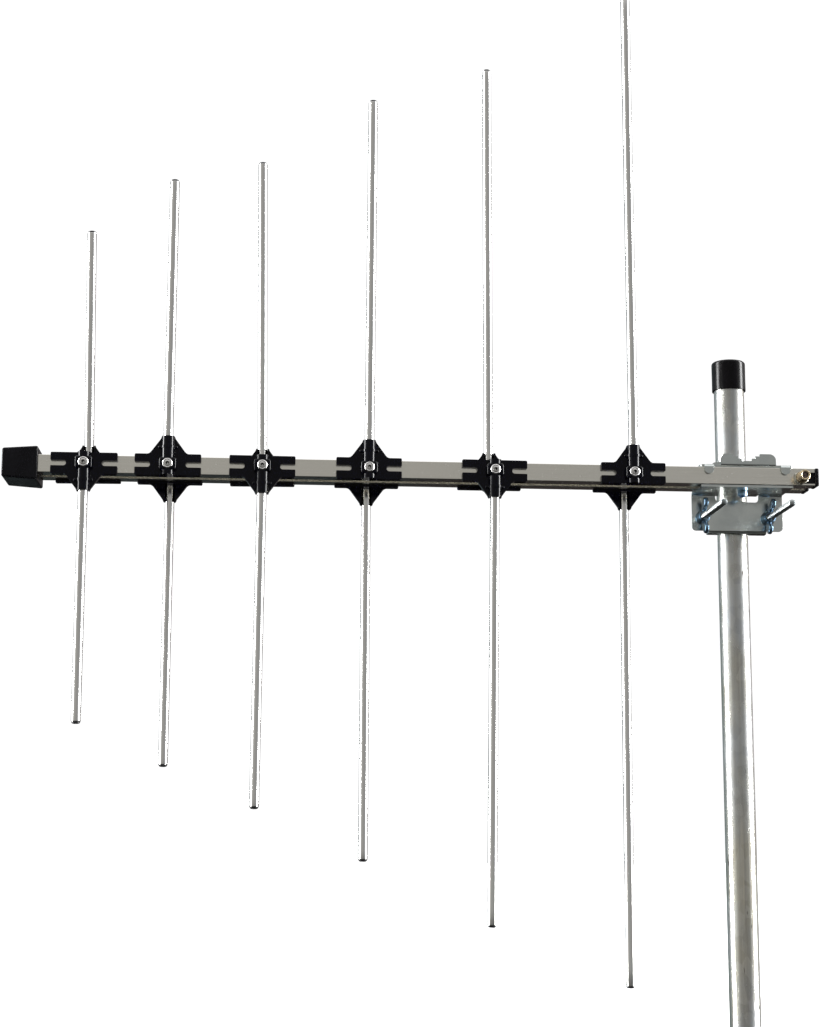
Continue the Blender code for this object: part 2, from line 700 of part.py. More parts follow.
def add_plate_bolt(parent):
    """The bolt that draws the two plates together between the booms, and its nut."""
    seat = BOOM_Z + PLATE_LIFT + SHEET + GAP
    under = BOOM_Z - PLATE_LIFT - SHEET - GAP
    end = under - 0.0055
    profile = [(0, seat + 0.003), (0.0034, seat + 0.003), (0.0045, seat + 0.0018), (0.0045, seat)]
    profile += [(0.0025, seat), (0.0025, end), (0, end)]
    place = {"location": (0, PAIR_Y, 0), "parent": parent}
    add("plate_bolt", turned("plate_bolt", profile, 16), ZINC, **place)
    hex_slab = slab("plate_bolt_nut", hexagon(0.008), "XY", under - 0.004, under)
    hole = rod("hole", 0.0025 + GAP, under - 0.01, under + 0.01, "Z", (0, 0), 16)
    add("plate_bolt_nut", combine(hex_slab, [("DIFFERENCE", hole)]), ZINC, **place)


def add_u_bolt(parent):
    bend = arc((0, U_CENTRE_Y), U_HALF, 180, 0, 16)
    path = [(-U_HALF, LEG_END_Y), *bend, (U_HALF, LEG_END_Y)]
    mesh = wire("u_bolt", [(x, y, 0) for x, y in path], LEG_RADIUS, 3)
    add("u_bolt", mesh, ZINC, (U_X, 0, U_Z), parent=parent)


def wing_nut():
    """A wing nut on the Z axis, seated at z = 0."""
    hub = [(0.0049, NUT_HEIGHT), (0.0065, 0), (LEG_RADIUS + GAP, 0), (LEG_RADIUS + GAP, NUT_HEIGHT)]
    mesh = turned("wing_nut", hub, 20)
    base, inner = 0.0025, LEG_RADIUS + 2 * GAP
    tip = arc((WING_SPAN - 0.0042, WING_RISE - 0.0042), 0.0042, -30, 140, 6)
    outline = [(inner, base), (0.0066, base), *tip, (0.0062, NUT_HEIGHT - 0.0005), (inner, NUT_HEIGHT - 0.001)]
    steps = []
    for sign in (-1, 1):
        shape = [(sign * x, z) for x, z in outline]
        steps.append(("UNION", slab("wing", shape, "XZ", -WING_THICK / 2, WING_THICK / 2)))
    return combine(mesh, steps)


def add_wing_nuts(parent):
    """Both nuts seat on the web, with their axes along -Y and their wings near upright."""
    mesh = wing_nut()
    seat = WEB_FRONT_Y - GAP
    for side, x in (("left", U_X - U_HALF), ("right", U_X + U_HALF)):
        turn = Matrix.Rotation(WING_TILT[side], 4, "Y") @ Matrix.Rotation(math.pi / 2, 4, "Y")
        lie_down = turn @ Matrix.Rotation(math.pi / 2, 4, "X")
        rotation = lie_down.to_euler()
        add(f"wing_nut_{side}", mesh, ZINC, (x, seat, U_Z), rotation, parent=parent)


add_mast()
antenna = empty("antenna_turn", (0, 0, BOOM_Z))
add_booms(antenna)
add_nose_cap(antenna)
add_tail_caps(antenna)
add_dipoles(antenna)
add_feed(antenna)
add_saddle(antenna)
add_lower_bracket(antenna)
add_plate_bolt(antenna)
add_u_bolt(antenna)
add_wing_nuts(antenna)
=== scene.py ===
"""Looks for the two-boom log-periodic antenna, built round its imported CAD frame.

Places come from the frame's boxes and joints, and the sizes of small details are given here.
Metres, +Z up, the booms along X, the beam along -X.
"""

import json
import math

import bmesh
import bpy
from mathutils import Matrix, Vector


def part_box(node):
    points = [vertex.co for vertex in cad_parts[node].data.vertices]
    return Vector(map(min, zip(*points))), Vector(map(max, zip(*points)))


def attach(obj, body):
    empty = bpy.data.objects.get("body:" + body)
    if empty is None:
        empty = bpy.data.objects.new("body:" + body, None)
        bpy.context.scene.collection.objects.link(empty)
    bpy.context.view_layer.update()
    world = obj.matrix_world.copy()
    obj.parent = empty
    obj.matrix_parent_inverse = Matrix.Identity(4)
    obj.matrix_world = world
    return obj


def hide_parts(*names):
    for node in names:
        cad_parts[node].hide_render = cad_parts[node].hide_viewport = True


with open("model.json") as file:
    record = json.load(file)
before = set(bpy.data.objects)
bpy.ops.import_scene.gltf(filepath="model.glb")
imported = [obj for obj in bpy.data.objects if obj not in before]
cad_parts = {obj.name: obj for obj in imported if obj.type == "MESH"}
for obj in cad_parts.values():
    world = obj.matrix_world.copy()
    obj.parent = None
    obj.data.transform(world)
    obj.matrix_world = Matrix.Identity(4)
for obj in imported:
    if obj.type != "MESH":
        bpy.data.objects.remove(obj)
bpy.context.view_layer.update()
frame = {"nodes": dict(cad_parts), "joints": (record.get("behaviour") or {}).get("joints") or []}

MM = 0.001
GAP = 0.3 * MM  # between pieces that touch


# --- Places from the frame ---

def middle(node):
    low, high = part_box(node)
    return (low + high) / 2


def nut_place(node):
    return next(joint for joint in frame["joints"] if joint["child"] == node)["pos_m"]


BOOM_LOW, BOOM_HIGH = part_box("boom_front")
REAR_LOW, REAR_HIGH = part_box("boom_rear")
BOOM_Z = (BOOM_LOW.z + BOOM_HIGH.z) / 2
BOOM_SIDE = BOOM_HIGH.z - BOOM_LOW.z
BOOM_WALL = 1.2 * MM
FRONT_Y, REAR_Y = BOOM_LOW.y, REAR_HIGH.y
PAIR_Y = (FRONT_Y + REAR_Y) / 2
ROD_RADIUS = 4 * MM
ROD_OFFSET = ROD_RADIUS + GAP
ROD_ROOT = -6.5 * MM  # a rod's inner end, past the boom's middle line
SHEET = 2 * MM


# --- Outlines, shapes and pieces ---

TURNS = {
    "X": Matrix.Rotation(math.pi / 2, 4, "Y"),
    "Y": Matrix.Rotation(-math.pi / 2, 4, "X"),
    "Z": Matrix.Identity(4),
}
# From an outline's two coordinates and its normal to X, Y and Z
PLANES = {
    "XY": Matrix.Identity(4),
    "XZ": Matrix(((1, 0, 0, 0), (0, 0, 1, 0), (0, 1, 0, 0), (0, 0, 0, 1))),
    "YZ": Matrix(((0, 0, 1, 0), (1, 0, 0, 0), (0, 1, 0, 0), (0, 0, 0, 1))),
}


def arc(centre, radius, start, end, steps):
    """Points on a circle, from the start to the end angle in degrees."""
    turns = [math.radians(start + (end - start) * i / steps) for i in range(steps + 1)]
    return [(centre[0] + radius * math.cos(a), centre[1] + radius * math.sin(a)) for a in turns]


def rounded_rect(x0, x1, y0, y1, radius, steps=5):
    """A rectangle's outline with round corners, anticlockwise."""
    left, right, lower, upper = x0 + radius, x1 - radius, y0 + radius, y1 - radius
    points = []
    for turn, x, y in ((0, right, upper), (90, left, upper), (180, left, lower), (270, right, lower)):
        points += arc((x, y), radius, turn, turn + 90, steps)
    return points


def centred_rect(half_x, half_y, radius, steps=5):
    return rounded_rect(-half_x, half_x, -half_y, half_y, radius, steps)


def hexagon(corner, low, high):
    return slab(arc((0, 0), corner, 30, 330, 5), "XY", low, high)


def settled(bm):
    """The same shape with its faces turned outwards."""
    bmesh.ops.recalc_face_normals(bm, faces=bm.faces)
    return bm


def slab(outline, plane, low, high):
    """A flat outline in one plane, as thick as from low to high along that plane's normal."""
    bm = bmesh.new()
    rings = [[bm.verts.new((*point, level)) for point in outline] for level in (low, high)]
    count = len(outline)
    for i in range(count):
        j = (i + 1) % count
        bm.faces.new((rings[0][i], rings[0][j], rings[1][j], rings[1][i]))
    bm.faces.new(rings[0][::-1])
    bm.faces.new(rings[1])
    bm.transform(PLANES[plane])
    return settled(bm)


def box(low, high):
    (x0, y0, z0), (x1, y1, z1) = low, high
    return slab([(x0, y0), (x1, y0), (x1, y1), (x0, y1)], "XY", z0, z1)


def turned(profile, segments, axis="Z"):
    """A profile of (radius, height) points turned about an axis.

    The profile starts and ends on the axis, or is a closed loop round it.
    """
    bm = bmesh.new()
    loop = profile[0][0] > 0
    rows = []
    for radius, height in profile:
        if radius <= 0:
            rows.append([bm.verts.new((0, 0, height))])
            continue
        ring = []
        for i in range(segments):
            a = 2 * math.pi * i / segments
            ring.append(bm.verts.new((radius * math.cos(a), radius * math.sin(a), height)))
        rows.append(ring)
    pairs = list(zip(rows, rows[1:]))
    if loop:
        pairs.append((rows[-1], rows[0]))
    for first, second in pairs:
        for i in range(segments):
            j = (i + 1) % segments
            face = []
            for ring, place in ((first, i), (first, j), (second, j), (second, i)):
                corner = ring[place % len(ring)]
                if corner not in face:
                    face.append(corner)
            if len(face) > 2:
                bm.faces.new(face)
    bm.transform(TURNS[axis])
    return settled(bm)


def rod(radius, start, end, axis, centre=(0, 0), segments=32):
    bm = turned([(0, end), (radius, end), (radius, start), (0, start)], segments, axis)
    place = list(centre)
    place.insert("XYZ".index(axis), 0)
    bm.transform(Matrix.Translation(place))
    return bm


def to_mesh(bm, name):
    mesh = bpy.data.meshes.new(name)
    bm.to_mesh(mesh)
    bm.free()
    return mesh


def evaluated(obj, name):
    bpy.context.view_layer.update()
    graph = bpy.context.evaluated_depsgraph_get()
    mesh = bpy.data.meshes.new_from_object(obj.evaluated_get(graph))
    mesh.name = name
    bpy.data.objects.remove(obj)
    return mesh


FINE_WELD, COARSE_WELD = 0.001 * MM, 0.02 * MM


def shaped(name, base, steps=(), bevel=0.0, segments=2, limit=32, remesh=0.0, smooth=0, weld=FINE_WELD):
    """The mesh after Boolean (operation, other) steps, then an edge bevel or a smoothing remesh."""
    obj = bpy.data.objects.new(name, to_mesh(base, name))
    bpy.context.scene.collection.objects.link(obj)
    others = []
    for operation, other in steps:
        mesh = other if isinstance(other, bpy.types.Mesh) else to_mesh(other, "other")
        helper = bpy.data.objects.new("other", mesh)
        bpy.context.scene.collection.objects.link(helper)
        helper.hide_render = True
        boolean = obj.modifiers.new("Boolean", "BOOLEAN")
        boolean.operation = operation
        boolean.solver = "EXACT"
        boolean.object = helper
        others.append(helper)
    if steps:
        welded = obj.modifiers.new("Weld", "WELD")
        welded.merge_threshold = weld
    if remesh:
        voxels = obj.modifiers.new("Remesh", "REMESH")
        voxels.mode = "VOXEL"
        voxels.voxel_size = remesh
        soften = obj.modifiers.new("Smooth", "SMOOTH")
        soften.factor = 0.5
        soften.iterations = smooth
    if bevel:
        rounded = obj.modifiers.new("Bevel", "BEVEL")
        rounded.width = bevel
        rounded.segments = segments
        rounded.limit_method = "ANGLE"
        rounded.angle_limit = math.radians(limit)
        rounded.miter_outer = "MITER_ARC"
    mesh = evaluated(obj, name)
    for helper in others:
        bpy.data.objects.remove(helper)
    return mesh


def rounded(bm, width, segments):
    made = bmesh.new()
    made.from_mesh(shaped("rounded", bm, bevel=width, segments=segments))
    return made


def piece(name, mesh, finish, body, stands_for=(), matrix=None, angle=35, flat_faces=False):
    """A piece of the visual model, smooth below the angle. flat_faces keeps large flats evenly lit."""
    if isinstance(mesh, bmesh.types.BMesh):
        mesh = to_mesh(mesh, name)
    finishes = finish if isinstance(finish, tuple) else (finish,)
    for place, one in enumerate(finishes):
        if place < len(mesh.materials):
            mesh.materials[place] = one
        else:
            mesh.materials.append(one)
    mesh.shade_smooth()
    mesh.set_sharp_from_angle(angle=math.radians(angle))
    obj = bpy.data.objects.new(name, mesh)
    bpy.context.scene.collection.objects.link(obj)
    if matrix is not None:
        obj.matrix_world = matrix
    if flat_faces:
        weighted = obj.modifiers.new("Weighted Normal", "WEIGHTED_NORMAL")
        weighted.keep_sharp = True
        weighted.weight = 80
    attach(obj, body)
    if stands_for:
        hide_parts(*stands_for)
    return obj


# --- Materials: noise and cell scales are per metre ---

MIX_FACTOR, MIX_A, MIX_B, MIX_RESULT = 0, 6, 7, 2  # the Mix node's sockets for colours
EVEN = (1, 1, 1)  # a noise that isn't stretched along any axis
BUMP_FINE, BUMP_GRAIN, BUMP_LINES = 0.01 * MM, 0.02 * MM, 0.05 * MM


class Nodes:
    """A material's node tree with short calls for the nodes used here."""

    def __init__(self, name, color, metallic, roughness):
        self.material = bpy.data.materials.new(name)
        self.material.use_nodes = True
        self.tree = self.material.node_tree
        self.shader = self.tree.nodes["Principled BSDF"]
        self.set("Base Color", (*color, 1))
        self.set("Metallic", metallic)
        self.set("Roughness", roughness)
        self.place = self.tree.nodes.new("ShaderNodeTexCoord").outputs["Object"]
        self.last_bump = None

    def set(self, socket, value):
        self.shader.inputs[socket].default_value = value

    def add(self, kind, **inputs):
        node = self.tree.nodes.new(kind)
        for key, value in inputs.items():
            socket = node.inputs[key.replace("_", " ")]
            if isinstance(value, bpy.types.NodeSocket):
                self.tree.links.new(value, socket)
            else:
                socket.default_value = value
        return node

    def mapped(self, scale):
        return self.add("ShaderNodeMapping", Vector=self.place, Scale=scale).outputs["Vector"]

    def noise(self, scale, stretch=EVEN, detail=3, roughness=0.5):
        place = self.mapped(stretch)
        made = self.add("ShaderNodeTexNoise", Vector=place, Scale=scale, Detail=detail, Roughness=roughness)
        return made.outputs["Fac"]

    def cells(self, scale, stretch=EVEN):
        return self.add("ShaderNodeTexVoronoi", Vector=self.mapped(stretch), Scale=scale).outputs["Color"]

    def ramp(self, value, stops):
        """stops: (position, colour or grey)"""
        node = self.add("ShaderNodeValToRGB", Fac=value)
        elements = node.color_ramp.elements
        while len(elements) < len(stops):
            elements.new(0.5)
        for element, (position, color) in zip(elements, stops):
            element.position = position
            element.color = (*color, 1) if isinstance(color, tuple) else (color, color, color, 1)
        return node.outputs["Color"]

    def range(self, value, low, high, from_low=0.3, from_high=0.7):
        ends = {"From_Min": from_low, "From_Max": from_high, "To_Min": low, "To_Max": high}
        return self.add("ShaderNodeMapRange", Value=value, **ends).outputs["Result"]

    def mix(self, factor, first, second):
        node = self.tree.nodes.new("ShaderNodeMix")
        node.data_type = "RGBA"
        for socket, value in ((MIX_FACTOR, factor), (MIX_A, first), (MIX_B, second)):
            if isinstance(value, bpy.types.NodeSocket):
                self.tree.links.new(value, node.inputs[socket])
            else:
                node.inputs[socket].default_value = (*value, 1)
        return node.outputs[MIX_RESULT]

    def link(self, socket, value):
        self.tree.links.new(value, self.shader.inputs[socket])

    def bump(self, height, distance, strength=1.0):
        node = self.add("ShaderNodeBump", Height=height, Strength=strength, Distance=distance)
        if self.last_bump:
            self.tree.links.new(self.last_bump, node.inputs["Normal"])
        self.last_bump = node.outputs["Normal"]
        self.link("Normal", self.last_bump)


def drawn_aluminium(name, color, dark, along, roughness, streak=900, depth=0.2, edge=0.5):
    """Extruded or drawn aluminium: fine lines along one axis, faint handling marks and small tone changes.

    edge is how bright the reflection stays at a glancing angle.
    """
    made = Nodes(name, color, 1.0, roughness)
    long, broader = 0.012, 0.3
    lines = made.noise(streak, {"X": (long, 1, 1), "Z": (1, 1, long)}[along], 2, 0.6)
    broad = made.noise(28, {"X": (broader, 1, 1), "Z": (1, 1, broader)}[along], 3, 0.55)
    marks = made.noise(420, EVEN, 4, 0.7)
    tone = made.mix(made.range(lines, 0.0, 1.0), dark, color)
    tone = made.mix(made.range(broad, 0.0, 0.35), tone, dark)
    made.link("Base Color", tone)
    made.link("Roughness", made.range(marks, roughness - 0.05, roughness + 0.08))
    made.set("Specular Tint", (edge, edge, edge, 1))
    made.bump(lines, BUMP_FINE, depth)
    return made.material


def zinc(name, color, dark, roughness, worn=0.22):
    """Zinc plate on sheet or wire steel: cloudy passivate tone, a fine grain and worn bright patches."""
    made = Nodes(name, color, 1.0, roughness)
    cloud = made.noise(55, EVEN, 4, 0.6)
    grain = made.noise(1600, EVEN, 2, 0.5)
    bare_steel = (0.72, 0.74, 0.74)
    tone = made.mix(made.range(cloud, 0.0, 1.0, 0.36, 0.64), dark, color)
    tone = made.mix(made.range(grain, 0.0, worn), tone, bare_steel)
    made.link("Base Color", tone)
    made.link("Roughness", made.range(cloud, roughness + 0.07, roughness - 0.05))
    made.bump(grain, 0.03 * MM, 0.25)
    made.bump(cloud, 0.2 * MM, 0.12)
    return made.material


def galvanised_pipe():
    """Hot-dip galvanised tube: long drawn marks, soft spangle, patches of two tones, a few scratches."""
    average, yellowish, bluish = (0.62, 0.61, 0.58), (0.62, 0.595, 0.5), (0.5, 0.535, 0.57)
    streak, bright, scratched = (0.4, 0.39, 0.37), (0.82, 0.82, 0.78), (0.16, 0.15, 0.14)
    made = Nodes("galvanised_pipe", average, 1.0, 0.2)
    lines = made.noise(500, (1, 1, 0.02), 3, 0.6)
    patches = made.noise(26, (1, 1, 0.35), 4, 0.6)
    spangle = made.cells(160, (1, 1, 0.6))
    grey = made.add("ShaderNodeRGBToBW", Color=spangle).outputs["Val"]
    tone = made.mix(made.range(patches, 0.0, 1.0, 0.38, 0.62), yellowish, bluish)
    tone = made.mix(made.range(lines, 0.0, 0.6), tone, streak)
    tone = made.mix(made.range(grey, 0.0, 0.22), tone, bright)
    marks = made.noise(210, (1, 1, 0.22), 3, 0.45)
    scratch = made.ramp(marks, [(0.0, 1.0), (0.275, 1.0), (0.3, 0.0), (1.0, 0.0)])
    tone = made.mix(scratch, tone, scratched)
    made.link("Base Color", tone)
    made.link("Roughness", made.range(patches, 0.2, 0.34, 0.35, 0.65))
    made.bump(lines, BUMP_LINES, 0.3)
    made.bump(grey, 0.12 * MM, 0.25)
    made.bump(patches, 1.2 * MM, 0.16)
    return made.material


def plastic(name, color, roughness, grain, ior=1.4):
    """Moulded plastic or dipped vinyl: near black, with a fine texture, flow marks and faint dust. Also the
    painted shade in a rivet's hollow.
    """
    made = Nodes(name, color, 0.0, roughness)
    fine = made.noise(grain, EVEN, 3, 0.6)
    flow = made.noise(70, (1, 1, 0.5), 3, 0.5)
    light = tuple(channel * 1.8 + 0.0004 for channel in color)
    tone = made.mix(made.range(flow, 0.0, 0.6), color, light)
    made.link("Base Color", tone)
    made.link("Roughness", made.range(flow, max(0.03, roughness - 0.06), roughness + 0.08))
    made.set("IOR", ior)
    made.bump(fine, BUMP_GRAIN, 0.15)
    return made.material


def plated_brass(name, color, dark, roughness):
    """Turned brass or copper, cloudy where its plating or polish has worn."""
    made = Nodes(name, color, 1.0, roughness)
    cloud = made.noise(300, EVEN, 4, 0.6)
    tone = made.mix(made.range(cloud, 0.0, 0.9), color, dark)
    made.link("Base Color", tone)
    made.link("Roughness", made.range(cloud, roughness - 0.05, roughness + 0.12))
    made.bump(made.noise(2200), BUMP_GRAIN, 0.3)
    return made.material


BOOM_METAL = drawn_aluminium(
    "boom_aluminium", (0.94, 0.92, 0.85), (0.89, 0.87, 0.8), "X", 0.2, depth=0.07, edge=1.0,
)
ROD_METAL = drawn_aluminium("rod_aluminium", (0.85, 0.845, 0.83), (0.77, 0.765, 0.75), "Z", 0.12)
RIVET_METAL = drawn_aluminium("rivet_aluminium", (0.82, 0.81, 0.79), (0.62, 0.61, 0.6), "Z", 0.2, streak=500)
BRACKET_ZINC = zinc("bracket_zinc", (0.7, 0.745, 0.725), (0.6, 0.645, 0.635), 0.2)
HARDWARE_ZINC = zinc("hardware_zinc", (0.26, 0.4, 0.53), (0.07, 0.14, 0.24), 0.09, worn=0.06)
# The U-bolt's duller plate
THREAD_ZINC = zinc("thread_zinc", (0.4, 0.43, 0.43), (0.24, 0.27, 0.28), 0.26, worn=0.08)
PIPE = galvanised_pipe()
CLAMP_PLASTIC = plastic("clamp_plastic", (0.0003, 0.0003, 0.0012), 0.09, 1500, ior=1.28)
CAP_PLASTIC = plastic("cap_plastic", (0.0012, 0.0011, 0.0018), 0.3, 1100, ior=1.25)
PLUG_PLASTIC = plastic("plug_plastic", (0.007, 0.007, 0.008), 0.32, 1500)
VINYL = plastic("vinyl", (0.0006, 0.0004, 0.0008), 0.2, 500, ior=1.25)
SHEATH = plastic("cable_sheath", (0.012, 0.012, 0.012), 0.5, 900)
SOCKET_METAL = plated_brass("socket_brass", (0.78, 0.62, 0.4), (0.5, 0.4, 0.27), 0.2)
NUT_METAL = plated_brass("nut_nickel", (0.62, 0.6, 0.52), (0.38, 0.37, 0.32), 0.22)
# Painted shade: a near-black colour on a rivet's hollow stands in for the shade that falls inside it
HOLE_SHADE = plastic("hole_shade", (0.002, 0.002, 0.002), 0.6, 900)
RIVET_METAL_AND_HOLE_SHADE = (RIVET_METAL, HOLE_SHADE)
INSULATOR = plastic("insulator", (0.05, 0.035, 0.03), 0.4, 900)
COPPER = plated_brass("copper", (0.78, 0.42, 0.25), (0.55, 0.27, 0.16), 0.25)


# --- Mast ---

def add_mast():
    low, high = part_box("mast_tube")
    outer, wall = high.x, 2.3 * MM
    inner = outer - wall
    edge = 0.35 * MM
    rings = 40
    profile = [(inner + edge, high.z), (outer - edge, high.z), (outer, high.z - edge)]
    profile += [(outer, high.z - edge - (high.z - low.z - 2 * edge) * i / rings) for i in range(1, rings)]
    profile += [(outer, low.z + edge), (outer - edge, low.z), (inner + edge, low.z)]
    profile += [(inner, low.z + edge), (inner, high.z - edge)]
    piece("mast_pipe", turned(profile, 112), PIPE, "mast", ["mast_tube"])

    tube_high = high
    low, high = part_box("mast_cap")
    clearance, crown, roll = 0.1 * MM, 2.6 * MM, 0.45 * MM
    outer, bore = high.x, tube_high.x + clearance
    seat = tube_high.z + clearance
    top = [(0, high.z), (outer * 0.45, high.z - 0.05 * MM), (outer - crown - 1 * MM, high.z - 0.18 * MM)]
    top += arc((outer - crown, high.z - 0.25 * MM - crown), crown, 88, 0, 10)
    side = [(outer, high.z - 8 * MM), (outer - 0.05 * MM, high.z - 16 * MM), (outer, low.z + 1.2 * MM)]
    lip = arc((outer - roll, low.z + roll), roll, 0, -90, 4) + [(bore, low.z), (bore, seat), (0, seat)]
    cap = turned(top + side + lip, 96)
    piece("mast_cap_vinyl", cap, VINYL, "mast", ["mast_cap"], angle=50)


# --- Booms and end caps ---

def boom(name, low, high, cuts):
    """A square tube with slightly rounded corners, open at both ends, less the cuts."""
    half = BOOM_SIDE / 2
    hollow = half - BOOM_WALL
    place = Matrix.Translation((0, (low.y + high.y) / 2, BOOM_Z))
    outer = slab(centred_rect(half, half, 0.4 * MM), "YZ", low.x, high.x)
    outer.transform(place)
    inner = slab(centred_rect(hollow, hollow, 0.3 * MM, 2), "YZ", low.x - MM, high.x + MM)
    inner.transform(place)
    return shaped(name, outer, [("DIFFERENCE", inner)] + [("DIFFERENCE", cut) for cut in cuts])


def add_booms():
    # The socket sits in a slot that is open at the front boom's tail
    socket = middle("coax_socket")
    ring = 5 * MM
    past = MM
    depth = FRONT_Y + BOOM_WALL + 0.4 * MM
    slot_low = (socket.x, FRONT_Y - past, socket.z - ring)
    slot_cut = box(slot_low, (BOOM_HIGH.x + past, depth, socket.z + ring))
    slot_end = rod(ring, FRONT_Y - past, depth, "Y", (socket.x, socket.z), 32)
    for name, low, high, cuts in (
        ("boom_front", BOOM_LOW, BOOM_HIGH, [slot_cut, slot_end]),
        ("boom_rear", REAR_LOW, REAR_HIGH, []),
    ):
        tube = boom(name, low, high, cuts)
        piece(name + "_tube", tube, BOOM_METAL, "antenna", [name], angle=50,
              flat_faces=True)


def add_nose_cap():
    """A moulded box, taller at its open end, with rounded edges and a hole for each boom."""
    low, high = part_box("nose_cap")
    end_half, open_half = 12.3 * MM, (high.z - low.z) / 2
    outline = [(low.x, -end_half), (high.x, -open_half), (high.x, open_half), (low.x, end_half)]
    outline = [(x, BOOM_Z + z) for x, z in outline]
    body = rounded(slab(outline, "XZ", low.y, high.y), 1.7 * MM, 5)
    wall, face = 2.5 * MM, 3 * MM
    hollow_low = (low.x + wall, low.y + wall, BOOM_Z - end_half + wall)
    hollow_high = (high.x - face, high.y - wall, BOOM_Z + end_half - wall)
    steps = [("DIFFERENCE", box(hollow_low, hollow_high))]
    half = BOOM_SIDE / 2 + GAP
    for y in ((BOOM_LOW.y + BOOM_HIGH.y) / 2, (REAR_LOW.y + REAR_HIGH.y) / 2):
        hole = box((high.x - 2 * face, y - half, BOOM_Z - half), (high.x + face, y + half, BOOM_Z + half))
        steps.append(("DIFFERENCE", hole))
    mesh = shaped("nose_box", body, steps, bevel=0.25 * MM, limit=50)
    piece("nose_box", mesh, CAP_PLASTIC, "antenna", ["nose_cap"], angle=50,
          flat_faces=True)


def add_tail_caps():
    """An end plate with rounded edges for each boom, and a plug that fills the tube."""
    for side, boom_low, boom_high in (("front", BOOM_LOW, BOOM_HIGH), ("rear", REAR_LOW, REAR_HIGH)):
        low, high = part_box(f"tail_cap_{side}")
        plate_x = boom_high.x + GAP
        plate = rounded(box((plate_x, low.y, low.z), (high.x, high.y, high.z)), 1.3 * MM, 5)
        half = BOOM_SIDE / 2 - BOOM_WALL - GAP
        y = (boom_low.y + boom_high.y) / 2
        plug = box((low.x, y - half, BOOM_Z - half), (plate_x + 1.5 * MM, y + half, BOOM_Z + half))
        mesh = shaped("tail_plate", plate, [("UNION", plug)])
        piece(f"tail_plate_{side}", mesh, CAP_PLASTIC, "antenna", [f"tail_cap_{side}"],
              angle=50, flat_faces=True)


# --- Dipoles: local frame on the boom's outer face, -Y outwards and +Z along the rod ---

PLUG_HEIGHT = 2.1 * MM


def rod_tube(length):
    bore, rolled, rings = ROD_RADIUS - MM, 0.45 * MM, 24
    end = length - PLUG_HEIGHT
    shoulder = end - rolled
    outside = [(bore, end - 0.1 * MM), (ROD_RADIUS - rolled, end)]
    outside += arc((ROD_RADIUS - rolled, shoulder), rolled, 60, 0, 3)
    outside += [(ROD_RADIUS, shoulder - (shoulder - ROD_ROOT) * i / rings) for i in range(1, rings + 1)]
    bm = turned(outside + [(bore, ROD_ROOT)], 40)
    bm.transform(Matrix.Translation((0, -ROD_OFFSET, 0)))
    return bm


def rod_plug(length, dome):
    """The moulded plug in a half-rod's tip, with a skirt inside the tube. dome is 0 for low, 1 for full."""
    base = length - PLUG_HEIGHT
    rim = ROD_RADIUS - 0.35 * MM
    seat = base + 0.03 * MM
    shoulder = (0.9 + 0.3 * (1 - dome)) * MM
    bulge = [(0, length), (rim * 0.45, length - 0.1 * MM), (rim * 0.78, length - 0.42 * MM)]
    bulge += [(rim * 0.96, length - shoulder), (rim, base + 0.25 * MM), (rim, seat)]
    skirt, skirt_end = ROD_RADIUS - 1.05 * MM, base - 5 * MM
    bm = turned(bulge + [(skirt, seat), (skirt, skirt_end), (0, skirt_end)], 32)
    bm.transform(Matrix.Translation((0, -ROD_OFFSET, 0)))
    return bm


CLAMP_HIGH = 9.2 * MM  # half the height of the clamp's plate
CLAMP_TIP = 24 * MM  # where the rod leaves the clamp
CLAMP_BACK, CLAMP_FRONT = -GAP, -3.3 * MM  # the plate's faces
RIVET_SEAT = 9.85 * MM  # how far the rivet's flange stands off the boom


def clamp_outline():
    half, high, corner, small = 28 * MM, CLAMP_HIGH, 1.1 * MM, 0.6 * MM
    slot, slot_end = 2.3 * MM, 17.3 * MM
    right = arc((half - corner, -high + corner), corner, -90, 0, 4)
    right += arc((half - small, -slot - small), small, 0, 90, 3)
    right += arc((slot_end, 0), slot, -90, -270, 12)
    right += arc((half - small, slot + small), small, -90, 0, 3)
    right += arc((half - corner, high - corner), corner, 0, 90, 4)
    # The concave turn from the plate's edge up the side of the tip
    right += [(17.6 * MM, high), (16.4 * MM, high + 0.25 * MM)]
    right += [(15.3 * MM, high + 0.9 * MM), (14.3 * MM, high + 1.9 * MM)]
    right += [(6.4 * MM, 21.9 * MM), (5.9 * MM, 22.9 * MM), (5.6 * MM, CLAMP_TIP)]
    return right + [(-x, z) for x, z in reversed(right)]


def rib_outline(radius, back=-GAP, steps=24):
    """A half circle round the rod with straight sides back to the plate."""
    return [(radius, back), *arc((0, -ROD_OFFSET), radius, 0, -180, steps), (-radius, back)]


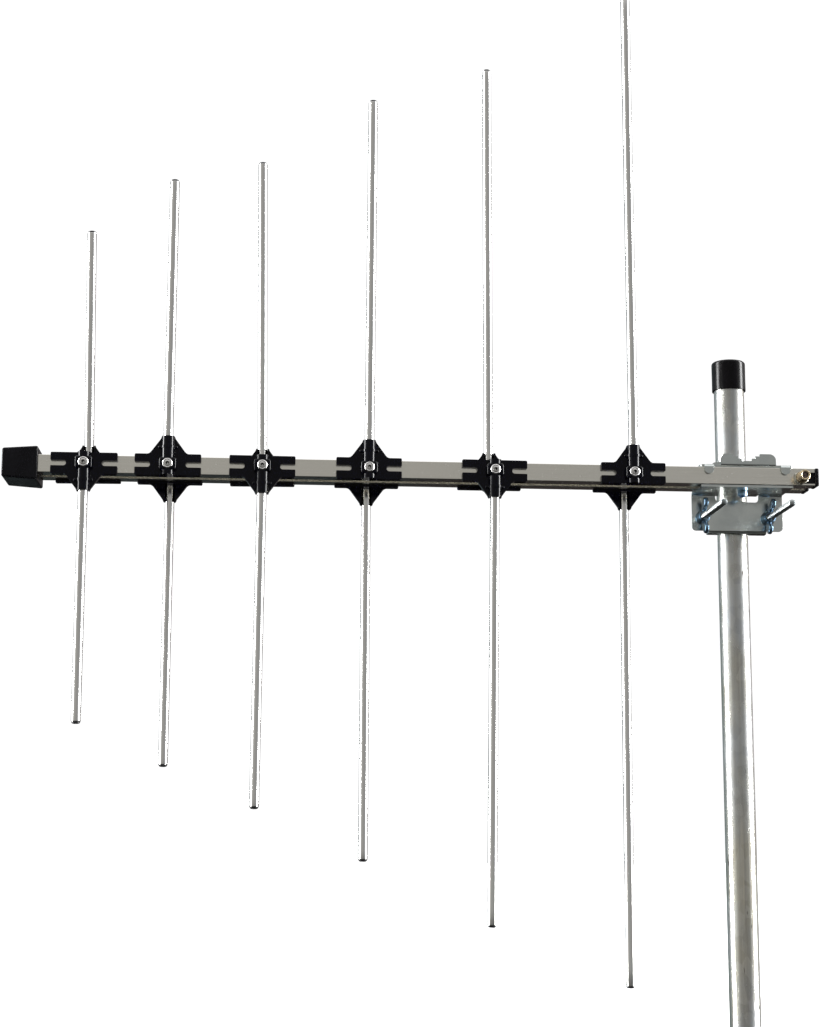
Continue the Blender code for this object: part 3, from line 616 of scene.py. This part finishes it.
def clamp_mesh():
    """The moulded saddle: plate, lips over the boom's edges, half-round rib, hoop, and the rivet's pad."""
    plate = slab(clamp_outline(), "XZ", CLAMP_FRONT, CLAMP_BACK)
    lip_half, lip_reach, lip_in = 26.9 * MM, 4.5 * MM, BOOM_SIDE / 2 + GAP
    steps = []
    for z0, z1 in ((lip_in, CLAMP_HIGH), (-CLAMP_HIGH, -lip_in)):
        steps.append(("UNION", box((-lip_half, CLAMP_FRONT / 2, z0), (lip_half, lip_reach, z1))))
    steps.append(("UNION", slab(rib_outline(5.4 * MM), "XY", -CLAMP_HIGH, CLAMP_TIP)))
    # Hoop across the rib, with ears on the plate
    sunk = -2 * MM
    hoop = rib_outline(5.95 * MM, sunk)
    steps.append(("UNION", slab(hoop, "XY", 13.6 * MM, 15.8 * MM)))
    ears = box((-8.4 * MM, -5.4 * MM, 13.5 * MM), (8.4 * MM, sunk, 15.9 * MM))
    steps.append(("UNION", rounded(ears, 1.2 * MM, 5)))
    # The pad that the rivet pulls on
    pad = slab(centred_rect(7.4 * MM, 5.4 * MM, 2.2 * MM), "XZ", -9.75 * MM, CLAMP_FRONT / 2)
    steps.append(("UNION", rounded(pad, 1.9 * MM, 5)))
    # The rod's channel, closed at its inner end, and the rivet's hole
    channel = rib_outline(ROD_RADIUS + 0.25 * MM, MM)
    steps.append(("DIFFERENCE", slab(channel, "XY", ROD_ROOT - GAP, CLAMP_TIP + MM)))
    steps.append(("DIFFERENCE", rod(2.2 * MM, -12 * MM, MM, "Y", segments=24)))
    return shaped("clamp", plate, steps, bevel=0.35 * MM, limit=38, weld=COARSE_WELD)


def rivet_mesh():
    """Domed flange with the mandrel's hollow in the middle, and the set end inside the boom."""
    head, crown, shank, bulb = 4.4 * MM, 11.35 * MM, 1.9 * MM, 2.8 * MM
    hollow, hollow_floor, blind_end = 1.3 * MM, RIVET_SEAT - 1.6 * MM, -4.7 * MM
    profile = [(0, hollow_floor), (1.1 * MM, hollow_floor)]
    # (radius, depth below the crown), both in mm, from the mandrel's hollow outwards
    profile += [(radius * MM, crown - depth * MM) for radius, depth in (
        (1.2, 0.35), (1.4, 0.05), (1.75, 0), (2.15, 0.15), (2.4, 0.6), (2.8, 0.75),
        (3.1, 0.5), (3.5, 0.35), (4.0, 0.6), (4.3, 0.95),
    )]
    profile += [(head, crown - 1.2 * MM), (head, RIVET_SEAT + 0.05 * MM), (head - 0.15 * MM, RIVET_SEAT)]
    profile += [(shank, RIVET_SEAT), (shank, -1.5 * MM), (bulb, -2.1 * MM), (bulb, -4.1 * MM)]
    profile += [(1.8 * MM, blind_end), (0, blind_end)]
    bm = turned(profile, 40)
    # Painted shade: faces inside the mandrel's hollow take the second, near-black material
    for face in bm.faces:
        centre = face.calc_center_median()
        if centre.xy.length < hollow and centre.z > 0:
            face.material_index = 1
    bm.transform(Matrix.Rotation(math.pi / 2, 4, "X"))
    return bm


def rod_lean(node, root_x):
    """How far a half-rod's tip leans along the boom, as a turn about +Y."""
    vertices = [v.co for v in frame["nodes"][node].data.vertices]
    tip = max(vertices, key=lambda co: abs(co.z - BOOM_Z))
    return math.atan((tip.x - root_x) / (tip.z - BOOM_Z))


def add_dipoles():
    clamp = clamp_mesh()
    rivet = to_mesh(rivet_mesh(), "rivet")
    pairs = 6
    for number in range(1, pairs + 1):
        for side, face in (("front", FRONT_Y), ("rear", REAR_Y)):
            base = f"element_{number}_{side}"
            rod_low, rod_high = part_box(base + "_rod")
            up = rod_high.z - BOOM_Z > BOOM_Z - rod_low.z
            length = rod_high.z - BOOM_Z if up else BOOM_Z - rod_low.z
            turn = Matrix.Identity(4)
            if side == "front" and not up:
                turn = Matrix.Rotation(math.pi, 4, "Y")
            elif side == "rear":
                turn = Matrix.Rotation(math.pi, 4, "Z" if up else "X")
            x = middle(base + "_rivet").x
            lean = rod_lean(base + "_rod", x)
            pivot = Matrix.Translation((x, face, BOOM_Z))
            place = pivot @ Matrix.Rotation(lean, 4, "Y") @ turn
            clamp_place = pivot @ Matrix.Rotation(lean / 2, 4, "Y") @ turn
            dome = 1 if number == pairs else 0
            for name, mesh, finish, slot, stands_for, where, angle, flat_faces in (
                ("tube", rod_tube(length), ROD_METAL, "rod_aluminium", [base + "_rod"], place, 35, False),
                ("plug", rod_plug(length, dome), PLUG_PLASTIC, "end_cap_plastic", (), place, 35, False),
                ("saddle", clamp, CLAMP_PLASTIC, "clamp_plastic", [base + "_clamp"], clamp_place, 50, True),
                ("rivet", rivet, RIVET_METAL_AND_HOLE_SHADE, "rivet_aluminium", [base + "_rivet"], clamp_place, 40, False),
            ):
                name = f"{name}_{number}_{side}"
                piece(name, mesh, finish, "antenna", stands_for, where, angle, flat_faces)


# --- U-bolt and wing nuts ---

M6_CREST, M6_ROOT, M6_PITCH = 3 * MM, 2.52 * MM, MM


def add_u_bolt():
    """A bar bent to a U, with a thread on each leg that turns about the path through its middle."""
    low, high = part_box("u_bolt")
    radius = M6_CREST
    half = (high.x - low.x) / 2 - radius
    centre_x, z = (low.x + high.x) / 2, (low.z + high.z) / 2
    centre_y = high.y - half - radius
    leg = centre_y - low.y
    up = Vector((0, 0, 1))
    path = []  # (point, direction across, up, distance travelled)
    step = M6_PITCH / 5

    def straight(x, from_y, to_y, travelled, sign):
        count = int(round(abs(to_y - from_y) / step))
        for i in range(count + 1):
            y = from_y + (to_y - from_y) * i / count
            path.append((Vector((x, y, z)), Vector((sign, 0, 0)), up, travelled + abs(y - from_y)))

    straight(centre_x - half, low.y, centre_y, 0.0, -1)
    bend = math.pi * half
    count = 48
    for i in range(1, count):
        a = math.pi - math.pi * i / count
        out = Vector((math.cos(a), math.sin(a), 0))
        path.append((Vector((centre_x, centre_y, z)) + out * half, out, up, leg + bend * i / count))
    straight(centre_x + half, centre_y, low.y, leg + bend, 1)
    bm = threaded_both(path, leg - 2 * MM)
    piece("u_bolt_bar", bm, THREAD_ZINC, "u_bolt", ["u_bolt"], angle=60)


def threaded_both(path, thread):
    """A bar along the path, with a thread of the length given from each end."""
    segments = 20
    steepness, crest_flat = 1.4, 0.15  # of the thread's flanks and crests
    runout = MM
    tip_radius, tip_slope = 2.35 * MM, 0.9  # the bevel at each end
    total = path[-1][3]
    bm = bmesh.new()
    rings = []
    for point, across, up, travelled in path:
        near_end = min(travelled, total - travelled)
        on = min(1.0, max(0.0, (thread - near_end) / runout))
        ring = []
        for i in range(segments):
            a = 2 * math.pi * i / segments
            phase = (near_end / M6_PITCH + i / segments) % 1
            depth = max(0.0, min(1.0, steepness * 2 * abs(phase - 0.5) - crest_flat))
            radius = M6_CREST - on * depth * (M6_CREST - M6_ROOT)
            radius = min(radius, tip_radius + near_end * tip_slope)
            ring.append(bm.verts.new(point + across * (radius * math.cos(a)) + up * (radius * math.sin(a))))
        rings.append(ring)
    for first, second in zip(rings, rings[1:]):
        for i in range(segments):
            j = (i + 1) % segments
            bm.faces.new((first[i], first[j], second[j], second[i]))
    for ring in (rings[0], rings[-1]):
        bm.faces.new(ring)
    return settled(bm)


def add_wing_nuts():
    """One cast shape for both: a tapered hub and two rounded wings, joined by soft fillets."""
    hub_height, bore = 8 * MM, 3.3 * MM
    hub = [(bore + 0.4 * MM, hub_height), (4.5 * MM, hub_height), (4.95 * MM, hub_height - 0.4 * MM)]
    hub += [(6.5 * MM, 0.5 * MM), (6.2 * MM, 0), (bore + 0.3 * MM, 0), (bore, 0.3 * MM)]
    hub += [(bore, hub_height - 0.4 * MM)]
    reach, top, lobe, wing_half = 16 * MM, 16.5 * MM, 4.7 * MM, 1.9 * MM
    tip = arc((reach - lobe, top - lobe), lobe, -35, 150, 12)
    steps = []
    for sign in (-1, 1):
        outline = [(3.8 * MM, 1.9 * MM), (7.6 * MM, 2.2 * MM)]
        outline += [*tip, (5.4 * MM, 8.9 * MM), (4.1 * MM, 7.4 * MM)]
        outline = [(sign * x, z) for x, z in outline]
        wing = rounded(slab(outline, "XZ", -wing_half, wing_half), 1.2 * MM, 3)
        steps.append(("UNION", wing))
    mesh = shaped("wing_nut", turned(hub, 48), steps, remesh=0.32 * MM, smooth=5)
    quarter = math.pi / 2
    upright = Matrix.Rotation(quarter, 4, "Y") @ Matrix.Rotation(quarter, 4, "X")
    for node, tilt in (("wing_nut_left", 0), ("wing_nut_right", 8)):
        turn = Matrix.Rotation(math.radians(tilt), 4, "Y") @ upright
        place = Matrix.Translation(nut_place(node)) @ turn
        piece(f"{node}_cast", mesh, HARDWARE_ZINC, node, [node], place, 60)


# --- Coax socket ---

def ridged(outer, root, start, end, pitch):
    """Profile of thread ridges from end down to start, as (radius, height)."""
    points = []
    level = end
    while level - pitch > start:
        points += [(root, level), (root, level - 0.12 * pitch)]
        points += [(outer, level - 0.42 * pitch), (outer, level - 0.62 * pitch)]
        level -= pitch
    return points + [(root, level)]


def add_socket():
    low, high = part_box("coax_socket")
    centre = Vector(((low.x + high.x) / 2, FRONT_Y, (low.z + high.z) / 2))
    length = FRONT_Y - low.y
    outer, bore, pitch = 4.7 * MM, 2.9 * MM, 0.79 * MM
    floor, tail = length - 4.5 * MM, -13.2 * MM
    place = Matrix.Translation(centre) @ Matrix.Rotation(math.pi / 2, 4, "X")
    profile = [(0, floor), (bore, floor), (bore, length - 0.25 * MM), (bore + 0.35 * MM, length)]
    nose = outer - 0.1 * MM
    profile += [(outer - 0.45 * MM, length), (nose, length - 0.3 * MM), (nose, length - 0.9 * MM)]
    profile += ridged(outer, outer - 0.42 * MM, 0.2 * MM, length - 1.1 * MM, pitch)
    # The flange inside the boom, and the body behind it
    profile += [(outer - 0.2 * MM, -1.5 * MM), (5 * MM, -1.5 * MM), (5 * MM, -3.2 * MM), (4 * MM, -3.3 * MM)]
    profile += [(4 * MM, tail), (0, tail)]
    body = turned(profile, 64)
    piece("socket_body", body, SOCKET_METAL, "antenna", ["coax_socket"], place, 30)
    rim, seat = bore - 0.1 * MM, length - 4.4 * MM
    core = [(0, seat), (0.55 * MM, seat), (0.6 * MM, length - 2.3 * MM), (1.0 * MM, length - 2.2 * MM)]
    core += [(bore - 0.25 * MM, length - 2.4 * MM), (rim, length - 2.6 * MM), (rim, seat)]
    core += [(0, length - 4.45 * MM)]
    piece("socket_insulator", turned(core, 48), INSULATOR, "antenna", (), place, 40)

    across, nut_low, nut_high = 11 * MM, 0.3 * MM, 3.3 * MM
    corner = across / math.sqrt(3)
    wide, under = corner + 0.05 * MM, 0.2 * MM
    chamfer = [(0, nut_high), (across / 2 - 0.1 * MM, nut_high), (wide, 2.75 * MM)]
    chamfer += [(wide, under), (0, under)]
    hole = rod(outer + 0.1 * MM, -MM, 5 * MM, "Z", segments=48)
    steps = [("INTERSECT", turned(chamfer, 48)), ("DIFFERENCE", hole)]
    mesh = shaped("nut", hexagon(corner, nut_low, nut_high), steps, bevel=0.12 * MM)
    piece("socket_hex_nut", mesh, NUT_METAL, "antenna", ["socket_nut"], place, 25)


# --- Bracket ---

STEP_WIDTH, STEP_RISE, STEP_FLOOR = 3.6 * MM, 2.1 * MM, 4.1 * MM
PLATE_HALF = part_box("lower_bracket")[1].x
PLATE_LIFT = BOOM_SIDE / 2 + 0.4 * MM
U_HALF = 29.3 * MM
WEB_FRONT_Y = -19 * MM
WEB_BOTTOM_Z = BOOM_Z - 42.2 * MM
U_HOLE, BOLT_HOLE = 3.4 * MM, 2.8 * MM  # radii
BEND_INNER, BEND_OUTER = 2 * MM, 4 * MM
PAST = 2 * MM  # how far a cut runs past the sheet


def toothed_notch(floor, edge):
    """The outline cut from a jaw: steps that rise from the floor to the edge on both sides."""
    right = []
    along = floor
    across = STEP_FLOOR
    while along < edge - STEP_RISE / 2:
        right += [(across, along), (across, along + STEP_RISE)]
        along += STEP_RISE
        across += STEP_WIDTH
    right.append((across - STEP_WIDTH, edge + PAST))
    return right + [(-x, y) for x, y in reversed(right)]


def plate_holes(low, high):
    cuts = [rod(U_HOLE, low, high, "Z", (x, PAIR_Y), 32) for x in (-U_HALF, U_HALF)]
    return cuts + [rod(BOLT_HOLE, low, high, "Z", (0, PAIR_Y), 32)]


def corner_cut(x, z, radius, sign, up):
    """What is cut off to round a corner at x, z. sign is its side, and up is 1 for a top one or -1."""
    curve = arc((abs(x) - radius, z - up * radius), radius, 0, up * 90, 8)
    shape = [(sign * across, level) for across, level in curve]
    outer, beyond = x + sign * PAST, z + up * PAST
    return shape + [(shape[-1][0], beyond), (outer, beyond), (outer, shape[0][1])]


def bent_up(front, rear, low, top):
    """The section of a sheet with both edges bent up to the top."""
    radius = MM
    outer = radius + SHEET  # the bend's inner and outer radius
    right = [*arc((rear - outer, low + outer), outer, -90, 0, 8), (rear, top), (rear - SHEET, top)]
    right += arc((rear - outer, low + outer), radius, 0, -90, 5)
    centre = (front + rear) / 2
    return right + [(2 * centre - y, z) for y, z in reversed(right)]


def add_saddle():
    """The upper plate, with a toothed jaw bent up at each side and four tongues bent down by the booms."""
    low = BOOM_Z + PLATE_LIFT
    high = low + SHEET
    front, rear = FRONT_Y - 0.2 * MM, REAR_Y + 0.2 * MM
    outline = rounded_rect(-PLATE_HALF, PLATE_HALF, FRONT_Y + MM, REAR_Y - MM, 1.3 * MM, 4)
    flat = slab(outline, "XY", low, high)
    jaw_top = BOOM_Z + 19.5 * MM
    jaw_left, jaw_right = -23.1 * MM, 25.7 * MM
    jaws = slab(bent_up(front, rear, low, jaw_top), "YZ", jaw_left, jaw_right)
    floor = jaw_top - 3 * STEP_RISE
    outlines = [toothed_notch(floor, jaw_top)]
    for sign, end in ((-1, jaw_left), (1, jaw_right)):
        outlines.append(corner_cut(end, jaw_top, 5.5 * MM, sign, 1))
    cuts = [("DIFFERENCE", slab(outline, "XZ", front - PAST, rear + PAST)) for outline in outlines]
    steps = [("UNION", shaped("jaws", jaws, cuts))]

    tongue_x, tongue_half, clear = 33.7 * MM, 4.2 * MM, 2.4 * MM
    tongue_front, tongue_rear = FRONT_Y - clear, REAR_Y + clear
    section = [(y, low + high - z) for y, z in bent_up(tongue_front, tongue_rear, low, high + 8.5 * MM)]
    end = BOOM_Z + 1.3 * MM
    far, under = tongue_half + MM, end - 4 * MM
    for x in (-tongue_x, tongue_x):
        band = slab(section, "YZ", x - tongue_half, x + tongue_half)
        shape = [(far, end + tongue_half), *arc((0, end + tongue_half), tongue_half, 0, -180, 16)]
        shape += [(-far, end + tongue_half), (-far, under), (far, under)]
        shape = [(x + across, z) for across, z in shape]
        cut = slab(shape, "XZ", tongue_front - PAST, tongue_rear + PAST)
        steps.append(("UNION", shaped("tongue", band, [("DIFFERENCE", cut)])))
    steps += [("DIFFERENCE", cut) for cut in plate_holes(low - PAST, high + PAST)]
    add_sheet("saddle_plate", flat, steps, "upper_saddle")


def add_sheet(name, base, steps, node):
    mesh = shaped("sheet", base, steps, bevel=0.3 * MM, limit=38, weld=COARSE_WELD)
    piece(name, mesh, BRACKET_ZINC, "antenna", [node], angle=50, flat_faces=True)


def add_bracket():
    """The lower sheet: a plate under the booms, a web bent down from it, a tab and a toothed flange."""
    top = BOOM_Z - PLATE_LIFT
    low = top - SHEET
    rear = WEB_FRONT_Y + SHEET
    front_edge = FRONT_Y + 0.8 * MM
    bend = (rear - BEND_OUTER, top - BEND_OUTER)
    section = [(front_edge, low), (front_edge, top), *arc(bend, BEND_OUTER, 90, 0, 10)]
    section += [(rear, WEB_BOTTOM_Z), (WEB_FRONT_Y, WEB_BOTTOM_Z), *arc(bend, BEND_INNER, 0, 90, 8)]
    folded = slab(section, "YZ", -PLATE_HALF, PLATE_HALF)
    corner = 3.5 * MM
    steps = []
    for sign in (-1, 1):
        shape = corner_cut(sign * PLATE_HALF, WEB_BOTTOM_Z, corner, sign, -1)
        steps.append(("DIFFERENCE", slab(shape, "XZ", WEB_FRONT_Y - PAST, rear + PAST)))

    # The opening in the web, and the tab that is bent back level out of it
    wide, deep, wave = 19.5 * MM, BOOM_Z - 16.4 * MM, 1.3 * MM
    right = [(wide, top + PAST), (wide, deep + corner)]
    right += arc((wide - corner, deep + corner), corner, 0, -90, 8)
    right += [(7.5 * MM, deep), (4.5 * MM, deep + wave)]
    opening = right + [(-x, z) for x, z in reversed(right)]
    bend_start = rear - SHEET - BEND_INNER
    steps.append(("DIFFERENCE", slab(opening, "XZ", bend_start, rear + PAST)))
    tab_half, tab_end, notch_floor = wide - 0.5 * MM, -12.2 * MM, -13.9 * MM
    tab = [(-tab_half, bend_start - PAST), (tab_half, bend_start - PAST), (tab_half, tab_end)]
    tab += [(6.6 * MM, tab_end), (4.2 * MM, notch_floor), (-4.2 * MM, notch_floor)]
    tab += [(-6.6 * MM, tab_end), (-tab_half, tab_end)]
    steps.append(("UNION", slab(tab, "XY", low, top)))

    flange_half, flange_low = 26 * MM, BOOM_Z - 44.6 * MM
    floor = -15.6 * MM
    edge = floor + 3 * STEP_RISE
    bend = (WEB_FRONT_Y + BEND_OUTER, flange_low + BEND_OUTER)
    joined = flange_low + BEND_OUTER + corner
    section = [(WEB_FRONT_Y, joined), *arc(bend, BEND_OUTER, 180, 270, 10), (edge, flange_low)]
    section += [(edge, flange_low + SHEET), *arc(bend, BEND_INNER, 270, 180, 8), (rear, joined)]
    flange = slab(section, "YZ", -flange_half, flange_half)
    notch = slab(toothed_notch(floor, edge), "XY", flange_low - PAST, flange_low + BEND_OUTER)
    steps.append(("UNION", shaped("flange", flange, [("DIFFERENCE", notch)])))
    for node in ("wing_nut_left", "wing_nut_right"):
        x, _, z = nut_place(node)
        steps.append(("DIFFERENCE", rod(U_HOLE, WEB_FRONT_Y - PAST, rear + PAST, "Y", (x, z), 32)))
    steps += [("DIFFERENCE", cut) for cut in plate_holes(low - PAST, top + PAST)]
    add_sheet("bracket_sheet", folded, steps, "lower_bracket")


def add_plate_bolt():
    """The screw between the booms that draws the two plates together, and its nut below."""
    low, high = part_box("plate_bolt")
    crest, root, pitch = 2.5 * MM, 2.1 * MM, 0.8 * MM
    seat = high.z - 3 * MM
    level = seat - 14 * MM  # where the thread starts
    profile = [(0, high.z), (2.6 * MM, high.z - 0.1 * MM), (3.9 * MM, high.z - 0.9 * MM)]
    profile += [(4.4 * MM, high.z - 2 * MM), (4.5 * MM, seat), (crest, seat), (crest, level)]
    while level > low.z + 1.2 * MM:
        profile += [(root, level - pitch / 2), (crest, level - pitch)]
        level -= pitch
    profile += [(1.9 * MM, low.z), (0, low.z)]
    place = Matrix.Translation((0, PAIR_Y, 0))
    bolt = turned(profile, 40)
    piece("plate_bolt_turned", bolt, HARDWARE_ZINC, "antenna", ["plate_bolt"], place, 40)
    low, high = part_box("plate_bolt_nut")
    corner = 8 * MM / math.sqrt(3)
    flat, wide, slope = 3.9 * MM, corner + 0.05 * MM, 0.5 * MM
    chamfer = [(0, high.z), (flat, high.z), (wide, high.z - slope)]
    chamfer += [(wide, low.z + slope), (flat, low.z), (0, low.z)]
    hole = rod(2.7 * MM, low.z - MM, high.z + MM, "Z")
    steps = [("INTERSECT", turned(chamfer, 40)), ("DIFFERENCE", hole)]
    mesh = shaped("plate_nut", hexagon(corner, low.z, high.z), steps, bevel=0.12 * MM)
    piece("plate_bolt_hex_nut", mesh, HARDWARE_ZINC, "antenna", ["plate_bolt_nut"], place,
          angle=25)


def paint_kept_nodes():
    """The feed's two hidden solids stay as they are, with materials from here."""
    for node, finish in (("feed_cable", SHEATH), ("feed_link", COPPER)):
        obj = frame["nodes"][node]
        for slot in obj.material_slots:
            slot.material = finish


# --- Studio ---

def add_floor():
    """A white floor just under the mast's foot, left out of reflections."""
    size, place = 24, (0, 6, -2 * MM)
    bpy.ops.mesh.primitive_plane_add(size=size, location=place)
    floor = bpy.context.object
    floor.name = "floor"
    white, scuffed = (0.9, 0.9, 0.9), (0.88, 0.88, 0.88)
    made = Nodes("floor", white, 0.0, 0.8)
    tone = made.mix(made.range(made.noise(3), 0.0, 0.5), white, scuffed)
    made.link("Base Color", tone)
    made.set("Specular IOR Level", 0.0)
    floor.data.materials.append(made.material)
    floor.visible_glossy = False


# The camera's turn in degrees: to the right of +Y, up, and rolled
VIEW_YAW, VIEW_PITCH, VIEW_ROLL = 4.316, 9.973, 0.204
CAMERA_PLACE = (-0.4129, -1.6362, BOOM_Z - 0.3166)
CAMERA_LENS, CAMERA_SENSOR, CAMERA_CLIP = 66.14, 36, 0.05

# Light round the horizon, by degrees from the camera's side to the right: (degrees, level, tint).
# The two narrow bright bands draw the white edges on the rods and the pipe.
BRIGHTEST = 36.0
AROUND = (
    (-180, 0.2, (0.75, 0.95, 1.0)),
    (-140, 0.34, (0.8, 0.97, 1.0)),
    (-112, 0.5, (0.93, 1.0, 1.0)),
    (-100, 0.68, (1.0, 1.0, 1.0)),
    (-97, 0.8, (1.0, 1.0, 1.0)),
    (-95, BRIGHTEST, (1.0, 1.0, 1.0)),
    (-82, BRIGHTEST, (1.0, 1.0, 1.0)),
    (-80, 0.95, (1.0, 1.0, 0.99)),
    (-54, 0.85, (1.0, 1.0, 0.97)),
    (-42, 0.42, (1.0, 0.99, 0.95)),
    (10, 0.335, (1.0, 0.98, 0.94)),
    (46, 0.32, (0.97, 0.99, 1.0)),
    (58, 0.88, (1.0, 1.0, 1.0)),
    (80, 1.0, (1.0, 1.0, 1.0)),
    (82, BRIGHTEST, (1.0, 1.0, 1.0)),
    (95, BRIGHTEST, (1.0, 1.0, 1.0)),
    (97, 1.0, (1.0, 1.0, 1.0)),
    (112, 0.85, (1.0, 1.0, 1.0)),
    (130, 0.42, (1.0, 0.93, 0.91)),
    (180, 0.16, (1.0, 0.88, 0.86)),
)

# Where the light changes with height, as the sine of the angle above level: (start, end) of each blend
DIMMED_BELOW = (-0.10, -0.2)
FAR_SIDE_DARK = (-0.10, -0.16)
FAR_SIDE = (0.5, 0.75)  # how far round to the side opposite the camera
LOW_DARK = (-0.38, -0.6)
GROUND_BELOW = (-0.7, -0.85)
CEILING_ABOVE = (0.5, 0.75)
DIMMED = 0.6
DARK = (0.006, 0.005, 0.0045, 1)
GROUND = (0.065, 0.065, 0.062, 1)
CEILING = (1.15, 1.15, 1.15, 1)
BACKDROP = (1.05, 1.05, 1.05, 1)


def add_world():
    """Light by direction, brightest at the sides, with a plain white backdrop for what the camera sees."""
    world = bpy.data.worlds.new("studio")
    bpy.context.scene.world = world
    world.use_nodes = True
    tree = world.node_tree
    tree.nodes.clear()

    def node(kind, *links, **settings):
        made = tree.nodes.new(kind)
        for key, value in settings.items():
            setattr(made, key, value)
        for socket, value in links:
            if isinstance(value, bpy.types.NodeSocket):
                tree.links.new(value, made.inputs[socket])
            else:
                made.inputs[socket].default_value = value
        return made

    def maths(operation, *values):
        return node("ShaderNodeMath", *enumerate(values), operation=operation).outputs[0]

    way = node("ShaderNodeTexCoord").outputs["Generated"]
    split = node("ShaderNodeSeparateXYZ", ("Vector", way))
    x, y, z = split.outputs
    # The angle from the camera's side to the right, as a share of a full turn
    angle = maths("ARCTAN2", x, maths("MULTIPLY", y, -1.0))
    turn = 2 * math.pi
    share = maths("ADD", maths("DIVIDE", angle, turn), 0.5 + math.radians(VIEW_YAW) / turn)
    share = maths("FRACT", share)
    ramp = node("ShaderNodeValToRGB", ("Fac", share))
    elements = ramp.color_ramp.elements
    while len(elements) < len(AROUND):
        elements.new(0.5)
    for element, (degrees, level, tint) in zip(elements, AROUND):
        element.position = (degrees + 180) / 360
        element.color = (*[level / BRIGHTEST * channel for channel in tint], 1)

    def mixed(factor, first, second, blend="MIX"):
        sockets = ((MIX_FACTOR, factor), (MIX_A, first), (MIX_B, second))
        return node("ShaderNodeMix", *sockets, data_type="RGBA", blend_type=blend).outputs[MIX_RESULT]

    def between(value, ends):
        sockets = (("Value", value), ("From Min", ends[0]), ("From Max", ends[1]))
        return node("ShaderNodeMapRange", *sockets, interpolation_type="SMOOTHSTEP").outputs["Result"]

    around = mixed(1.0, ramp.outputs["Color"], (BRIGHTEST, BRIGHTEST, BRIGHTEST, 1), "MULTIPLY")
    # Below the horizon the light is dimmed, and dark on the far side and lower down. The ground is grey.
    far = maths("MULTIPLY", between(z, FAR_SIDE_DARK), between(y, FAR_SIDE))
    low = maths("MAXIMUM", far, between(z, LOW_DARK))
    low = maths("MAXIMUM", low, maths("MULTIPLY", between(z, DIMMED_BELOW), DIMMED))
    below = mixed(low, around, DARK)
    ground = mixed(between(z, GROUND_BELOW), below, GROUND)
    above = mixed(between(z, CEILING_ABOVE), ground, CEILING)
    seen = node("ShaderNodeLightPath").outputs["Is Camera Ray"]
    shown = mixed(seen, above, BACKDROP)
    light = node("ShaderNodeBackground", ("Color", shown), ("Strength", 1.0))
    node("ShaderNodeOutputWorld", ("Surface", light.outputs[0]))


def add_top_light():
    """A broad soft panel over the set, left out of reflections."""
    wide, deep, watts, place = 3.2, 2.4, 70, (-0.3, -0.2, 2.6)
    data = bpy.data.lights.new("top_panel", "AREA")
    data.shape = "RECTANGLE"
    data.size, data.size_y = wide, deep
    data.energy = watts
    obj = bpy.data.objects.new("top_panel", data)
    bpy.context.scene.collection.objects.link(obj)
    obj.location = place
    obj.visible_camera = False
    obj.visible_glossy = False


def add_camera():
    yaw, pitch, roll = (math.radians(degrees) for degrees in (VIEW_YAW, VIEW_PITCH, VIEW_ROLL))
    forward = Vector((math.sin(yaw) * math.cos(pitch), math.cos(yaw) * math.cos(pitch), math.sin(pitch)))
    level = Vector((math.cos(yaw), -math.sin(yaw), 0))
    above = level.cross(forward)
    right = math.cos(roll) * level + math.sin(roll) * above
    up = math.cos(roll) * above - math.sin(roll) * level
    camera = bpy.data.cameras.new("camera")
    camera.lens = CAMERA_LENS
    camera.sensor_width = CAMERA_SENSOR
    camera.clip_start = CAMERA_CLIP
    obj = bpy.data.objects.new("camera", camera)
    bpy.context.scene.collection.objects.link(obj)
    turn = Matrix((right, up, -forward)).transposed().to_4x4()
    obj.matrix_world = Matrix.Translation(CAMERA_PLACE) @ turn
    bpy.context.scene.camera = obj


add_mast()
add_booms()
add_nose_cap()
add_tail_caps()
add_dipoles()
add_u_bolt()
add_wing_nuts()
add_socket()
add_saddle()
add_bracket()
add_plate_bolt()
paint_kept_nodes()
add_floor()
add_world()
add_top_light()
add_camera()
bpy.context.scene.view_settings.view_transform = "Standard"
